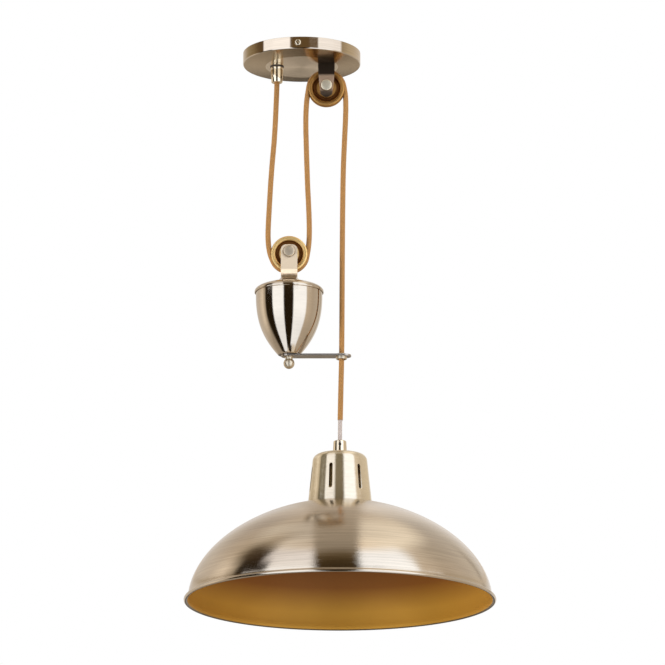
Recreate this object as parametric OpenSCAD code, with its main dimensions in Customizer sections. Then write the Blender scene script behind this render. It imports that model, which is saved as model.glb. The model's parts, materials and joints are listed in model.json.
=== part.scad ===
// Rise and fall pendant: ceiling rose, two sheaves, balancing counterweight and a domed lamp.
// Frame: +Z up, X to the right, Y away from the viewer. The origin is the middle of the
// ceiling fixing, on the ceiling plane, and everything hangs below it.

/* [Ceiling rose] */
// Diameter of the rose
rose_d = 135; // [125:1:160]
// Height of the rose's wall
rose_h = 14; // [13.5:0.5:22]
// Diameter of the flat face under the rose
rose_face_d = 84; // [82:1:100]
// Height of the shallow cone between the wall and the flat face
rose_face_h = 2; // [1:0.1:2.4]
// Sheet thickness of the rose
rose_wall = 1.2; // [0.8:0.1:1.5]
// Outside radius of the lower corner of the rose
rose_corner_r = 2.5; // [2:0.1:4]
// Width of the ceiling strap
strap_w = 18; // [16:1:24]
// Thickness of the ceiling strap
strap_t = 1.5; // [1.2:0.1:2]
// Distance between the middles of the two fixing slots
slot_gap = 60; // [56:1:66]
// Length of each fixing slot
slot_l = 16; // [12:1:20]
// Width of each fixing slot
slot_w = 4.5; // [4:0.1:5]
// Diameter of the small machine screws
screw_d = 4; // [3.5:0.1:4.5]
// Diameter of the small screws' heads
screw_head_d = 7; // [6.5:0.1:8]
// Height of the small screws' heads
screw_head_h = 2; // [1.6:0.1:2.4]

/* [Terminal block] */
// Length of the block along the strap
block_l = 27; // [26:0.5:30]
// Width of the block across the strap
block_w = 16; // [14:0.5:18]
// Height of the block
block_h = 10; // [9:0.1:10.5]
// Distance between neighbouring poles
pole_pitch = 8.5; // [8:0.1:8.8]

/* [Cord gland] */
// Place of the gland to the left of the middle
gland_x = -28.5; // [-32:0.1:-26]
// Length of the gland below the rose
gland_l = 19; // [17:0.5:24]
// Diameter of the gland at its top
gland_top_d = 14.6; // [14:0.1:16]
// Diameter of the gland at its mouth
gland_mouth_d = 12.8; // [12:0.1:14]
// Diameter of the gland's stem
gland_stem_d = 10; // [9.6:0.1:10.6]

/* [Flex] */
// Diameter of the fabric covered flex
cord_d = 6; // [5.6:0.1:6.1]
// Diameter of the bare braid above the lamp
tail_d = 4.7; // [4.2:0.1:5]
// Diameter of each insulated core
core_d = 1.8; // [1.4:0.1:1.9]

/* [Sheaves] */
// Diameter of each sheave over its flanges
sheave_d = 42; // [41.6:0.1:43]
// Width of each sheave over its flanges
sheave_w = 10; // [9.4:0.1:12]
// Radius of the flex's centreline round a sheave
pitch_r = 20.3; // [20:0.1:20.4]
// Diameter of the two axles
axle_d = 6; // [5:0.1:7]
// Wall of the bronze bush in each sheave
bush_wall = 2; // [1.5:0.1:2.5]
// Diameter of the flat round axle heads
axle_head_d = 13; // [11:0.1:14]
// Thickness of the axle heads
axle_head_t = 3; // [2:0.1:4]
// Width inside each fork
fork_gap = 26.8; // [24:0.1:32]
// Thickness of the fork's strap
fork_t = 2; // [1.6:0.1:2.4]
// Width of the fork's ears
fork_w = 18.8; // [16:0.1:20]

/* [Top fork] */
// Place of the fixed sheave to the right of the middle
top_x = 28.4; // [27:0.1:32]
// Height of the fixed axle below the ceiling
top_axle_drop = 42.3; // [41:0.1:48]
// Radius of the rounded lower end of the ears
top_ear_r = 7.2; // [6.5:0.1:8]
// Reach of the ears below the axle
top_ear_reach = 13.7; // [11:0.1:16]

/* [Counterweight] */
// Place of the counterweight's axis
weight_x = -14; // [-15:0.1:-12]
// Height of the moving axle below the ceiling
weight_axle_drop = 239.2; // [236:0.1:242]
// Reach of the ears above the axle
weight_ear_reach = 8; // [7.5:0.1:10]
// Corner radius of the ears
weight_ear_r = 6; // [4:0.1:7.5]
// Height of the lid with its neck
lid_h = 19; // [17:0.1:22]
// Diameter of the lid over its lip
lid_d = 78.8; // [76:0.1:84]
// Diameter of the lid's neck
neck_d = 19; // [16:0.1:20]
// Sheet thickness of lid and shell
weight_wall = 1.2; // [0.8:0.1:1.6]
// Height of the shell below the lid
shell_h = 72.7; // [68:0.1:80]
// Diameter of the shell's flat foot
shell_foot_d = 25; // [22:0.5:28]
// Diameter of the rod through the counterweight
rod_d = 6; // [5:0.1:7]
// Diameter of the ball at the bottom
ball_d = 12.6; // [11:0.1:14]

/* [Guide arm] */
// Distance from the counterweight's axis to the eyelet
arm_reach = 59.6; // [58:0.1:61]
// Width of the arm
arm_w = 16; // [15:0.1:18]
// Thickness of the arm
arm_t = 2.1; // [1.6:0.1:3]
// Diameter of the eyelet's flanges
eyelet_d = 13.2; // [12.8:0.1:14]
// Diameter of the eyelet's bore
eyelet_bore_d = 9.8; // [9:0.1:10.4]

/* [Shade] */
// Place of the lamp's axis
lamp_x = 43.8; // [43:0.1:45]
// Height of the shade's rim below the ceiling
lamp_drop = 640.7; // [636:0.1:646]
// Diameter of the shade over its rolled rim
shade_d = 351.2; // [330:1:370]
// Height of the shade's dome
dome_h = 112.8; // [105:0.1:120]
// Sheet thickness of the shade
shade_wall = 0.6; // [0.5:0.1:1]
// Fullness of the dome, where 2 is an ellipse
dome_power = 1.874; // [1.8:0.001:2.1]
// Radius of the rolled rim
rim_r = 1.9; // [1.5:0.1:2.5]

/* [Lampholder cover] */
// Height of the cover
cover_h = 58; // [56:0.1:62]
// Diameter of the cover's foot
cover_foot_d = 72.6; // [70:0.1:76]
// Diameter of the cover at its shoulder
cover_shoulder_d = 62; // [60:0.1:66]
// Radius of the cover's shoulder
cover_shoulder_r = 8.4; // [6:0.1:10]
// Sheet thickness of the cover
cover_wall = 0.8; // [0.6:0.1:1.2]
// Number of vent slots
vent_n = 6; // [4:1:8]
// Length of a vent slot
vent_l = 28.6; // [24:0.1:32]
// Width of a vent slot
vent_w = 4; // [3:0.1:5]

/* [Cord grip] */
// Height of the cord grip
grip_h = 13.8; // [12:0.1:16]
// Diameter of the cord grip at its top
grip_top_d = 14.6; // [14:0.1:16]
// Diameter of the cord grip at its foot
grip_foot_d = 16; // [15:0.1:18]
// Diameter of the hollow threaded nipple
nipple_d = 10; // [9.6:0.1:10.6]

/* [Lampholder] */
// Diameter of the lampholder's threaded body
holder_d = 39.8; // [38:0.1:41]
// Height of the lampholder's body
holder_h = 46; // [44:0.1:50]
// Height of the lampholder's cap
holder_cap_h = 23; // [21:0.1:25]
// Inside diameter of the metal screw shell
socket_d = 26.6; // [26.2:0.1:27.4]
// Depth of the metal screw shell
socket_l = 26; // [24:0.1:28]
// Diameter of the two shade rings
ring_d = 50; // [47:0.1:54]
// Height of the two shade rings
ring_h = 4; // [3:0.1:5]

/* [Hidden] */

$fn = 72;

// Clearances
seat_gap = 0.05;   // between faces that bear on each other round a curve
thread_gap = 0.05; // radial, between a screw and its tapped hole
screw_gap = 0.2;   // radial, between a screw and the hole it passes through
run_gap = 0.05;    // radial, between an axle and its bush
side_play = 0.2;   // between a sheave's hub and its spacer
tuck_gap = 0.2;    // between sheets that slide into each other
cord_gap = 0.15;   // radial, between the flex and the hole that holds it
groove_gap = 0.2;  // radial, between the flex and the sheave's groove

// Sizes of the small standard pieces
nut_h = 4;
thin_nut_h = 3;
stem_nut_af = 15;     // across the flats
rod_nut_af = 10;      // across the flats
washer_t = 1;
barrel_d = 4.4;
barrel_bore_d = 2.6;
barrel_drop = 4.6;    // from the block's top to the barrels' axes
block_base_h = 3;
pole_w = 6.8;
small_screw_d = 2.6;
small_head_d = 3.4;
small_head_h = 1.4;
block_head_d = 2.7;
block_head_h = 1.2;
earth_tag_t = 0.3;
side_screw_l = 7;
side_screw_turn = -3.4; // of both side screws about the rose, from the front
grub_d = 3;
grub_up = 6;          // from the gland's mouth up to its grub screw
grub_slot_w = 0.5;
grub_slot_h = 0.9;
core_ring_r = 1.25;   // of the circle on which the three cores lie in the flex
thread_pitch = 3;     // of the coarse thread on the lampholder
thread_h = 0.5;

// Heights of the ceiling pieces
rose_r = rose_d / 2;
rose_in_r = rose_r - rose_wall;
rose_bottom = -rose_h - rose_face_h;
rose_floor = rose_bottom + rose_wall;
tab_gap = 0.3;
tab_y = sqrt(rose_in_r * rose_in_r - strap_w * strap_w / 4) - tab_gap;
tab_reach = rose_h - rose_wall - 0.8;
side_screw_z = -rose_h / 2;
earth_screw_y = -(slot_gap + slot_l + tab_y * 2) / 4;
block_top = -strap_t;
barrel_z = block_top - barrel_drop;

// The gland and the end of the flex in it
gland_top = rose_bottom;
stem_proud = 3.8;     // of the gland's stem above its nut
stem_top = rose_floor + nut_h + stem_proud;
cord_end_z = stem_top - 0.5;
grub_z = gland_top - gland_l + grub_up;

// Sheaves, forks and axles
sheave_r = sheave_d / 2;
bush_r = axle_d / 2 + bush_wall;
hub_proud = 0.5;
hub_half = sheave_w / 2 + hub_proud;
fork_half = fork_gap / 2 + fork_t;
top_axle_z = -top_axle_drop;
weight_axle_z = -weight_axle_drop;
loop_gap = 1;         // between the flex under the moving sheave and the fork
fork_base_top = weight_axle_z - pitch_r - cord_d / 2 - loop_gap;
fork_screw_y = fork_gap / 2 - screw_head_d / 2 - 2.4;

// Counterweight, from the fork's base downwards
lid_top = fork_base_top - fork_t;
lip_z = lid_top - lid_h;
shell_r = lid_d / 2 - weight_wall - tuck_gap;
shell_tuck = 1.2;     // of the shell's edge up into the lid
shell_top = lip_z + shell_tuck;
foot_z = lip_z - shell_h;
slug_gap = 0.4;
slug_top = shell_top - 2;
arm_bottom = foot_z - arm_t;
ball_drop = 7.8;      // from the arm to the middle of the ball
ball_z = arm_bottom - ball_drop;
rod_bottom = ball_z + 1;
collar_r = 5.6;
collar_h = 0.9;
eyelet_x = weight_x + arm_reach;

// Lamp, from the rim upwards
rim_z = -lamp_drop;
rim_step = 0.7;       // between the dome's foot and the rolled rim
shade_in_r = shade_d / 2 - rim_r * 2 - rim_step;
cover_foot_r = cover_foot_d / 2;
cover_foot_z = shade_top_at(cover_foot_r - cover_wall) + seat_gap;
cover_top = cover_foot_z + cover_h;
crown = 2;
crown_r = cover_shoulder_d / 2 - cover_shoulder_r;
grip_foot_z = cover_top + crown * (1 - pow(nipple_d / 2 / crown_r, 2));
grip_top = grip_foot_z + grip_h;
grip_screw_z = grip_top - 5.2;
grip_notch_w = 1.4;
grip_notch_h = 3.4;
cover_under = cover_top + crown - cover_wall;
holder_cap_top = cover_under - thin_nut_h - 1.4;
holder_top = holder_cap_top - holder_cap_h;
holder_bottom = holder_top - holder_h;
holder_r = holder_d / 2;
cap_wall = 1.6;
cap_proud = 0.6;      // of the cap beyond the body
neck_h = 5;           // of the body's neck inside the cap
shell_out_r = socket_d / 2 + 0.8;
shell_start_z = holder_bottom + 1;
shell_end_z = shell_start_z + socket_l;
contact_room = 3;     // above the screw shell, where the centre contact springs
ledge_z = shell_end_z + contact_room;
insert_r = shell_out_r + 1.6;
insert_top = holder_top - 1.5;
insert_screw_x = 7.5;
nipple_top = grip_foot_z + 5.5;
grip_step_z = nipple_top + 0.1;
nipple_bottom = holder_cap_top - 6;
tail_end = nipple_top + 0.5;
tail_l = 24.3;        // of the bare braid above the cord grip
tail_top = grip_top + tail_l;
ring_r = ring_d / 2;
vent_turn = -18.5;    // of the first vent, from the side that faces the viewer
vent_up = 28;
vent_z = cover_foot_z + vent_up;

// Angles round the sheaves at which the flex comes off them
top_left_a = 170;
top_right_a = 10;
weight_left_a = 200;
weight_right_a = 350;

// Route of the flex, as [x, z] in the plane y = 0
left_strand = [
  [gland_x, cord_end_z], [gland_x, -20], [gland_x, -34], [-28.8, -46], [-29.4, -62],
  [-30.2, -82], [-31.6, -106], [-33.6, -130], [-35.4, -156], [-36.8, -182], [-37.9, -204],
  [-38.2, -218], [-37.4, -230], [-35.7, -239]
];
middle_strand = [
  [7.6, -233], [8.6, -223], [8.9, -212], [8.7, -198], [8, -180], [7, -160], [6, -132],
  [5.2, -105], [4.8, -86], [5, -70], [6, -55]
];
drop_strand = [
  [50.2, -50], [50.7, -64], [50.3, -80], [49.2, -104], [47.9, -136], [47.1, -180],
  [46.6, -235], [46.3, -290], [46, -335], [45.7, -362], [44.9, (tail_top - 362) / 2],
  [44.1, tail_top]
];
tail_strand = [
  [44.1, tail_top], [43.9, grip_top + 12], [lamp_x, grip_top + 3], [lamp_x, tail_end]
];

// ---------- shapes that repeat ----------

// Height of the dome's outside at radius r
function shade_top_at(r) =
  let (a = shade_in_r)
  rim_z + dome_h * pow(1 - pow(r / a, dome_power), 1 / dome_power);

function arc(cx, cy, r, a0, a1, n) = [
  for (i = [0 : n]) let (a = a0 + (a1 - a0) * i / n) [cx + r * cos(a), cy + r * sin(a)]
];

function bezier(p, n) = [
  for (i = [0 : n]) let (t = i / n, s = 1 - t)
    s * s * s * p[0] + 3 * s * s * t * p[1] + 3 * s * t * t * p[2] + t * t * t * p[3]
];

function reversed(v) = [for (i = [len(v) - 1 : -1 : 0]) v[i]];

// A path in the XZ plane as points in space
function in_plane(path) = [for (p = path) [p[0], 0, p[1]]];

function tangent(path, i) =
  let (a = path[max(i - 1, 0)], b = path[min(i + 1, len(path) - 1)])
  (b - a) / norm(b - a);

function ring_points(centre, along, r, sides) =
  let (
    side = cross(along, [0, 1, 0]),
    u = side / norm(side),
    v = cross(along, u)
  )
  [for (k = [0 : sides - 1]) centre + r * (cos(360 * k / sides) * u + sin(360 * k / sides) * v)];

// Direction along a circle in the XZ plane at angle a, turning clockwise to the viewer
function clockwise(a) = [sin(a), 0, -cos(a)];

// A round tube along a list of points in space; its end faces are square to first and last
module swept(path, d, first, last, sides = 10) {
  n = len(path) - 1;
  along = [for (i = [0 : n]) i == 0 ? first : (i == n ? last : tangent(path, i))];
  rings = [for (i = [0 : n]) ring_points(path[i], along[i], d / 2, sides)];
  skin = [
    for (i = [0 : n - 1], k = [0 : sides - 1])
      let (a = i * sides + k, b = i * sides + (k + 1) % sides)
      [a, b, b + sides, a + sides]
  ];
  start = [for (k = [sides - 1 : -1 : 0]) k];
  finish = [for (k = [0 : sides - 1]) n * sides + k];
  polyhedron([for (r = rings) each r], concat(skin, [start, finish]), convexity = 8);
}

module tube(d, bore, z0, z1) {
  translate([0, 0, z0])
    difference() {
      cylinder(d = d, h = z1 - z0);
      translate([0, 0, -1]) cylinder(d = bore, h = z1 - z0 + 2);
    }
}

module rod(d, z0, z1) {
  translate([0, 0, z0]) cylinder(d = d, h = z1 - z0);
}

module hex_nut(af, bore, z0, h) {
  translate([0, 0, z0])
    difference() {
      cylinder(d = af / cos(30), h = h, $fn = 6);
      translate([0, 0, -1]) cylinder(d = bore, h = h + 2);
    }
}

// A screw along +Z with its head's seat at z = 0, its shank below and a cross recess
module pan_screw(d, head_d, head_h, l) {
  difference() {
    union() {
      translate([0, 0, -l]) cylinder(d = d, h = l);
      rotate_extrude()
        polygon(concat([[0, 0], [head_d / 2, 0], [head_d / 2, head_h / 3]],
                       arc(head_d / 2 - head_h * 2 / 3, head_h / 3, head_h * 2 / 3, 0, 90, 5),
                       [[0, head_h]]));
    }
    for (turn = [0, 90])
      rotate([0, 0, turn])
        translate([-head_d / 3.4, -head_d / 14, head_h * 0.45])
          cube([head_d / 1.7, head_d / 7, head_h]);
  }
}

// A screw with a single slot
module slot_screw(d, head_d, head_h, l) {
  difference() {
    union() {
      translate([0, 0, -l]) cylinder(d = d, h = l);
      cylinder(d = head_d, h = head_h);
    }
    translate([-head_d, -head_d / 10, head_h * 0.5]) cube([head_d * 2, head_d / 5, head_h]);
  }
}

// Puts something drawn about Z on an axle that lies along Y; its +Z faces the viewer
module on_axle(x, z) {
  translate([x, 0, z]) rotate([90, 0, 0]) children();
}

// ---------- ceiling rose ----------

module ceiling_strap() {
  color([0.72, 0.72, 0.7])
    difference() {
      union() {
        translate([-strap_w / 2, -tab_y, -strap_t]) cube([strap_w, tab_y * 2, strap_t]);
        for (s = [-1, 1])
          translate([-strap_w / 2, s > 0 ? tab_y - strap_t : -tab_y, -tab_reach])
            cube([strap_w, strap_t, tab_reach]);
      }
      for (s = [-1, 1])
        translate([0, s * slot_gap / 2, -strap_t - 1]) fixing_slot();
      translate([0, 0, side_screw_z])
        rotate([90, 0, side_screw_turn])
          cylinder(d = screw_d + 2 * thread_gap, h = rose_d, center = true);
      translate([0, earth_screw_y, -strap_t - 1])
        cylinder(d = screw_d + 2 * thread_gap, h = strap_t + 2);
      for (s = [-1, 1])
        translate([0, s * pole_pitch / 2, -strap_t - 1])
          cylinder(d = small_screw_d + 2 * thread_gap, h = strap_t + 2);
    }
}

module fixing_slot() {
  half = (slot_l - slot_w) / 2;
  for (s = [-1, 1])
    translate([0, s * half, 0]) cylinder(d = slot_w, h = strap_t + 2);
  translate([-slot_w / 2, -half, 0]) cube([slot_w, half * 2, strap_t + 2]);
}

module canopy() {
  color([0.72, 0.6, 0.42])
    difference() {
      rotate_extrude($fn = 144)
        polygon(concat(
          [[0, rose_bottom], [rose_face_d / 2, rose_bottom]],
          arc(rose_r - rose_corner_r, -rose_h + rose_corner_r, rose_corner_r, -90, 0, 8),
          [[rose_r, 0], [rose_in_r, 0]],
          arc(rose_r - rose_corner_r, -rose_h + rose_corner_r, rose_corner_r - rose_wall, 0, -90, 8),
          [[rose_face_d / 2, rose_floor], [0, rose_floor]]));
      translate([gland_x, 0, rose_bottom - 1])
        cylinder(d = gland_stem_d + 2 * screw_gap, h = rose_wall + 2);
      for (s = [-1, 1])
        translate([top_x, s * fork_screw_y, rose_bottom - 1])
          cylinder(d = screw_d + 2 * screw_gap, h = rose_wall + 2);
      translate([0, 0, side_screw_z])
        rotate([90, 0, side_screw_turn])
          cylinder(d = screw_d + 2 * screw_gap, h = rose_d + 2, center = true);
    }
}

module canopy_side_screws() {
  color([0.78, 0.66, 0.45])
    for (turn = [0, 180])
      rotate([0, 0, turn + side_screw_turn])
        translate([0, -rose_r - seat_gap, side_screw_z])
          rotate([90, 45, 0]) pan_screw(screw_d, screw_head_d, screw_head_h, side_screw_l);
}

module earth_screw() {
  color([0.8, 0.68, 0.35])
    translate([0, earth_screw_y, -strap_t - core_d - 0.4]) {
      rotate([180, 0, 0]) pan_screw(screw_d, screw_head_d, screw_head_h, strap_t + core_d + 0.2);
      difference() {
        cylinder(d = screw_head_d + 1.6, h = earth_tag_t);
        translate([0, 0, -1]) cylinder(d = screw_d - 0.2, h = 3);
      }
    }
}

module terminal_block() {
  color([0.93, 0.92, 0.88])
    difference() {
      union() {
        translate([-block_w / 2, -block_l / 2, block_top - block_base_h])
          cube([block_w, block_l, block_base_h]);
        for (i = [-1 : 1])
          translate([-block_w / 2, i * pole_pitch - pole_w / 2, block_top - block_h])
            cube([block_w, pole_w, block_h]);
      }
      for (i = [-1 : 1]) {
        translate([0, i * pole_pitch, barrel_z])
          rotate([0, 90, 0])
            cylinder(d = barrel_d + 2 * seat_gap, h = block_w + 2, center = true);
        for (s = [-1, 1])
          translate([s * block_w / 4, i * pole_pitch, block_top - block_h - 1])
            cylinder(d = small_head_d + 2 * screw_gap, h = block_h + 1 - 5);
      }
      for (s = [-1, 1])
        translate([0, s * pole_pitch / 2, block_top - block_h - 1])
          cylinder(d = small_screw_d + 2 * screw_gap, h = block_h + 2);
    }
}

module terminal_barrels() {
  color([0.82, 0.7, 0.36])
    for (i = [-1 : 1])
      translate([0, i * pole_pitch, barrel_z])
        difference() {
          rotate([0, 90, 0]) cylinder(d = barrel_d, h = block_w - 3, center = true);
          rotate([0, 90, 0]) cylinder(d = barrel_bore_d, h = block_w, center = true);
          for (s = [-1, 1])
            translate([s * block_w / 4, 0, -barrel_d])
              cylinder(d = small_screw_d + 2 * thread_gap, h = barrel_d);
        }
}

module terminal_screws() {
  color([0.75, 0.75, 0.74])
    for (i = [-1 : 1], s = [-1, 1])
      translate([s * block_w / 4, i * pole_pitch, barrel_z - barrel_d / 2 - small_head_h])
        rotate([180, 0, 0])
          slot_screw(small_screw_d, small_head_d, small_head_h,
                     barrel_d / 2 + small_head_h - core_d / 2 - 0.3);
}

module block_screws() {
  color([0.75, 0.75, 0.74])
    for (s = [-1, 1])
      translate([0, s * pole_pitch / 2, block_top - block_base_h])
        rotate([180, 0, 0])
          slot_screw(small_screw_d, block_head_d, block_head_h, block_base_h + strap_t - 0.2);
}

// ---------- cord gland ----------

module gland_body() {
  bore = cord_d + 2 * cord_gap;
  z0 = gland_top - washer_t;
  mouth = gland_top - gland_l;
  color([0.86, 0.74, 0.48])
    translate([gland_x, 0, 0])
      difference() {
        rotate_extrude()
          polygon(concat(
            [[bore / 2, stem_top], [bore / 2, mouth + 2]],
            [[gland_mouth_d / 2 - 1.6, mouth]],
            arc(gland_mouth_d / 2 - 0.6, mouth + 0.6, 0.6, -90, 0, 4),
            [[gland_top_d / 2, z0 - 3.4], [gland_top_d / 2 - 0.5, z0 - 2.9],
             [gland_top_d / 2 - 0.5, z0 - 2.2], [gland_top_d / 2, z0 - 1.7],
             [gland_top_d / 2, z0], [gland_stem_d / 2, z0], [gland_stem_d / 2, stem_top]]));
        translate([0, 0, grub_z])
          rotate([0, -90, 0]) cylinder(d = grub_d + 2 * thread_gap, h = gland_top_d);
      }
}

module gland_washer() {
  color([0.16, 0.14, 0.12])
    translate([gland_x, 0, 0])
      tube(gland_top_d + 1, gland_stem_d + 2 * screw_gap, gland_top - washer_t, gland_top);
}

module gland_locknut() {
  color([0.8, 0.68, 0.4])
    translate([gland_x, 0, 0])
      hex_nut(stem_nut_af, gland_stem_d + 2 * thread_gap, rose_floor, nut_h);
}

module gland_grub_screw() {
  bore_r = cord_d / 2 + cord_gap;
  color([0.3, 0.29, 0.27])
    translate([gland_x, 0, grub_z])
      rotate([0, -90, 0])
        difference() {
          translate([0, 0, bore_r]) cylinder(d = grub_d, h = gland_mouth_d / 2 - bore_r);
          translate([-grub_d, -grub_slot_w / 2, gland_mouth_d / 2 - grub_slot_h])
            cube([grub_d * 2, grub_slot_w, grub_slot_h + 1]);
        }
}

// One core from the flex's end to a terminal: k picks its place round the flex
module ceiling_core(k) {
  start = [gland_x + core_ring_r * cos(120 * k), core_ring_r * sin(120 * k), cord_end_z];
  y = (k == 0 ? 0 : (k == 1 ? 1 : -1)) * pole_pitch;
  path = [
    start,
    start + [0, 0, 1.6],
    start + [2.2, y * 0.1, 2.4],
    [gland_x + 8, y * 0.45, barrel_z + 1.6],
    [-block_w / 2 - 4, y * 0.95, barrel_z + 0.4],
    [-block_w / 2 - 1, y, barrel_z],
    [-block_w / 2 + 5, y, barrel_z]
  ];
  swept(path, core_d, [0, 0, 1], [1, 0, 0], 8);
}

module ceiling_live_core() {
  color([0.42, 0.22, 0.1]) ceiling_core(0);
}

module ceiling_neutral_core() {
  color([0.15, 0.35, 0.75]) ceiling_core(1);
}

module ceiling_earth_core() {
  color([0.45, 0.65, 0.15]) ceiling_core(2);
}

// ---------- forks, axles and sheaves ----------

// Fork of the fixed sheave, hanging under the rose
module top_fork() {
  base_z = rose_bottom - fork_t;
  end_z = top_axle_z - top_ear_reach + top_ear_r;
  lean = atan((fork_w / 2 - top_ear_r) / (base_z - end_z)) / 2;
  color([0.74, 0.64, 0.47])
    difference() {
      union() {
        translate([top_x - fork_w / 2, -fork_half, base_z])
          cube([fork_w, fork_half * 2, fork_t]);
        for (y = [-fork_half, fork_half - fork_t])
          translate([top_x, y + fork_t, 0])
            rotate([90, 0, 0])
              linear_extrude(fork_t)
                polygon(concat([[-fork_w / 2, rose_bottom], [-fork_w / 2, base_z - 8]],
                               arc(0, end_z, top_ear_r, 180 + lean, 360 - lean, 20),
                               [[fork_w / 2, base_z - 8], [fork_w / 2, rose_bottom]]));
      }
      on_axle(top_x, top_axle_z)
        cylinder(d = axle_d + 2 * run_gap, h = fork_half * 2 + 2, center = true);
      for (s = [-1, 1])
        translate([top_x, s * fork_screw_y, base_z - 1])
          cylinder(d = screw_d + 2 * thread_gap, h = fork_t + 2);
    }
}

module top_fork_screws() {
  color([0.75, 0.75, 0.74])
    for (s = [-1, 1])
      translate([top_x, s * fork_screw_y, rose_floor])
        pan_screw(screw_d, screw_head_d, screw_head_h, rose_wall + fork_t);
}

// Axle with its flat round head towards the viewer
module axle() {
  tip = fork_half + 4.4;
  translate([0, 0, -tip]) cylinder(d = axle_d, h = tip + fork_half + 1);
  rotate_extrude()
    polygon(concat([[0, fork_half], [axle_head_d / 2 - 0.3, fork_half]],
                   arc(axle_head_d / 2 - 0.9, fork_half + axle_head_t - 0.9, 0.9, 0, 90, 5),
                   [[0, fork_half + axle_head_t]]));
}

// Domed cap nut on the far end of an axle
module axle_nut() {
  flat_h = 3.6;
  r = axle_d / 2 + 2;
  difference() {
    union() {
      translate([0, 0, -fork_half - flat_h])
        cylinder(d = (axle_d + 5) / cos(30), h = flat_h, $fn = 6);
      rotate_extrude()
        polygon(concat([[0, -fork_half - flat_h], [r, -fork_half - flat_h]],
                       arc(0, -fork_half - flat_h, r, 0, -90, 10)));
    }
    translate([0, 0, -fork_half - 4.6])
      cylinder(d = axle_d + 2 * thread_gap, h = 6);
  }
}

// The two tubes that keep a sheave in the middle of its fork
module spacers() {
  inner = hub_half + side_play;
  for (s = [-1, 1])
    translate([0, 0, s > 0 ? inner : -fork_gap / 2])
      tube(bush_r * 2 + 1, axle_d + 2 * run_gap, 0, fork_gap / 2 - inner);
}

// Grooved wheel about Z: hub, web, dished ring and rim with a round bottomed groove
module sheave() {
  half = sheave_w / 2;
  groove_r = cord_d / 2 + groove_gap;
  centre_r = pitch_r + 0.1;
  rim_in = centre_r - groove_r - 1.6;
  rotate_extrude($fn = 96)
    polygon(concat(
      [[bush_r + seat_gap, -hub_half], [bush_r + 3, -hub_half], [bush_r + 3.5, -half + 0.7],
       [rim_in - 3.4, -half + 1], [rim_in - 2.6, -half + 2.6], [rim_in - 0.9, -half + 2.6],
       [rim_in, -half + 0.6], [rim_in + 1, -half]],
      arc(sheave_r - 0.8, -half + 0.8, 0.8, -90, 0, 4),
      [[sheave_r, -groove_r]],
      [for (a = [-90 : 15 : 90]) [centre_r - groove_r * cos(a), groove_r * sin(a)]],
      [[sheave_r, groove_r]],
      arc(sheave_r - 0.8, half - 0.8, 0.8, 0, 90, 4),
      [[rim_in + 1, half], [rim_in, half - 0.6], [rim_in - 0.9, half - 2.6],
       [rim_in - 2.6, half - 2.6], [rim_in - 3.4, half - 1], [bush_r + 3.5, half - 0.7],
       [bush_r + 3, hub_half], [bush_r + seat_gap, hub_half]]));
}

module bush() {
  tube(bush_r * 2, axle_d + 2 * run_gap, -hub_half, hub_half);
}

module top_axle() {
  color([0.84, 0.76, 0.6]) on_axle(top_x, top_axle_z) axle();
}

module top_axle_nut() {
  color([0.84, 0.76, 0.6]) on_axle(top_x, top_axle_z) axle_nut();
}

module top_spacers() {
  color([0.7, 0.6, 0.42]) on_axle(top_x, top_axle_z) spacers();
}

module top_sheave() {
  color([0.72, 0.55, 0.24]) on_axle(top_x, top_axle_z) sheave();
}

module top_sheave_bush() {
  color([0.6, 0.4, 0.22]) on_axle(top_x, top_axle_z) bush();
}

// ---------- counterweight ----------

module weight_fork() {
  ear_top = weight_axle_z + weight_ear_reach;
  r = weight_ear_r;
  color([0.78, 0.7, 0.55])
    difference() {
      union() {
        translate([weight_x - fork_w / 2, -fork_half, lid_top])
          cube([fork_w, fork_half * 2, fork_t]);
        for (y = [-fork_half, fork_half - fork_t])
          translate([weight_x, y + fork_t, 0])
            rotate([90, 0, 0])
              linear_extrude(fork_t)
                polygon(concat([[-fork_w / 2, lid_top], [fork_w / 2, lid_top]],
                               arc(fork_w / 2 - r, ear_top - r, r, 0, 90, 8),
                               arc(-fork_w / 2 + r, ear_top - r, r, 90, 180, 8)));
      }
      on_axle(weight_x, weight_axle_z)
        cylinder(d = axle_d + 2 * run_gap, h = fork_half * 2 + 2, center = true);
      translate([weight_x, 0, lid_top - 1])
        cylinder(d = rod_d + 2 * thread_gap, h = fork_t + 2);
    }
}

module weight_axle() {
  color([0.84, 0.76, 0.6]) on_axle(weight_x, weight_axle_z) axle();
}

module weight_axle_nut() {
  color([0.84, 0.76, 0.6]) on_axle(weight_x, weight_axle_z) axle_nut();
}

module weight_spacers() {
  color([0.7, 0.6, 0.42]) on_axle(weight_x, weight_axle_z) spacers();
}

module weight_sheave() {
  color([0.72, 0.55, 0.24]) on_axle(weight_x, weight_axle_z) sheave();
}

module weight_sheave_bush() {
  color([0.6, 0.4, 0.22]) on_axle(weight_x, weight_axle_z) bush();
}

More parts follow.
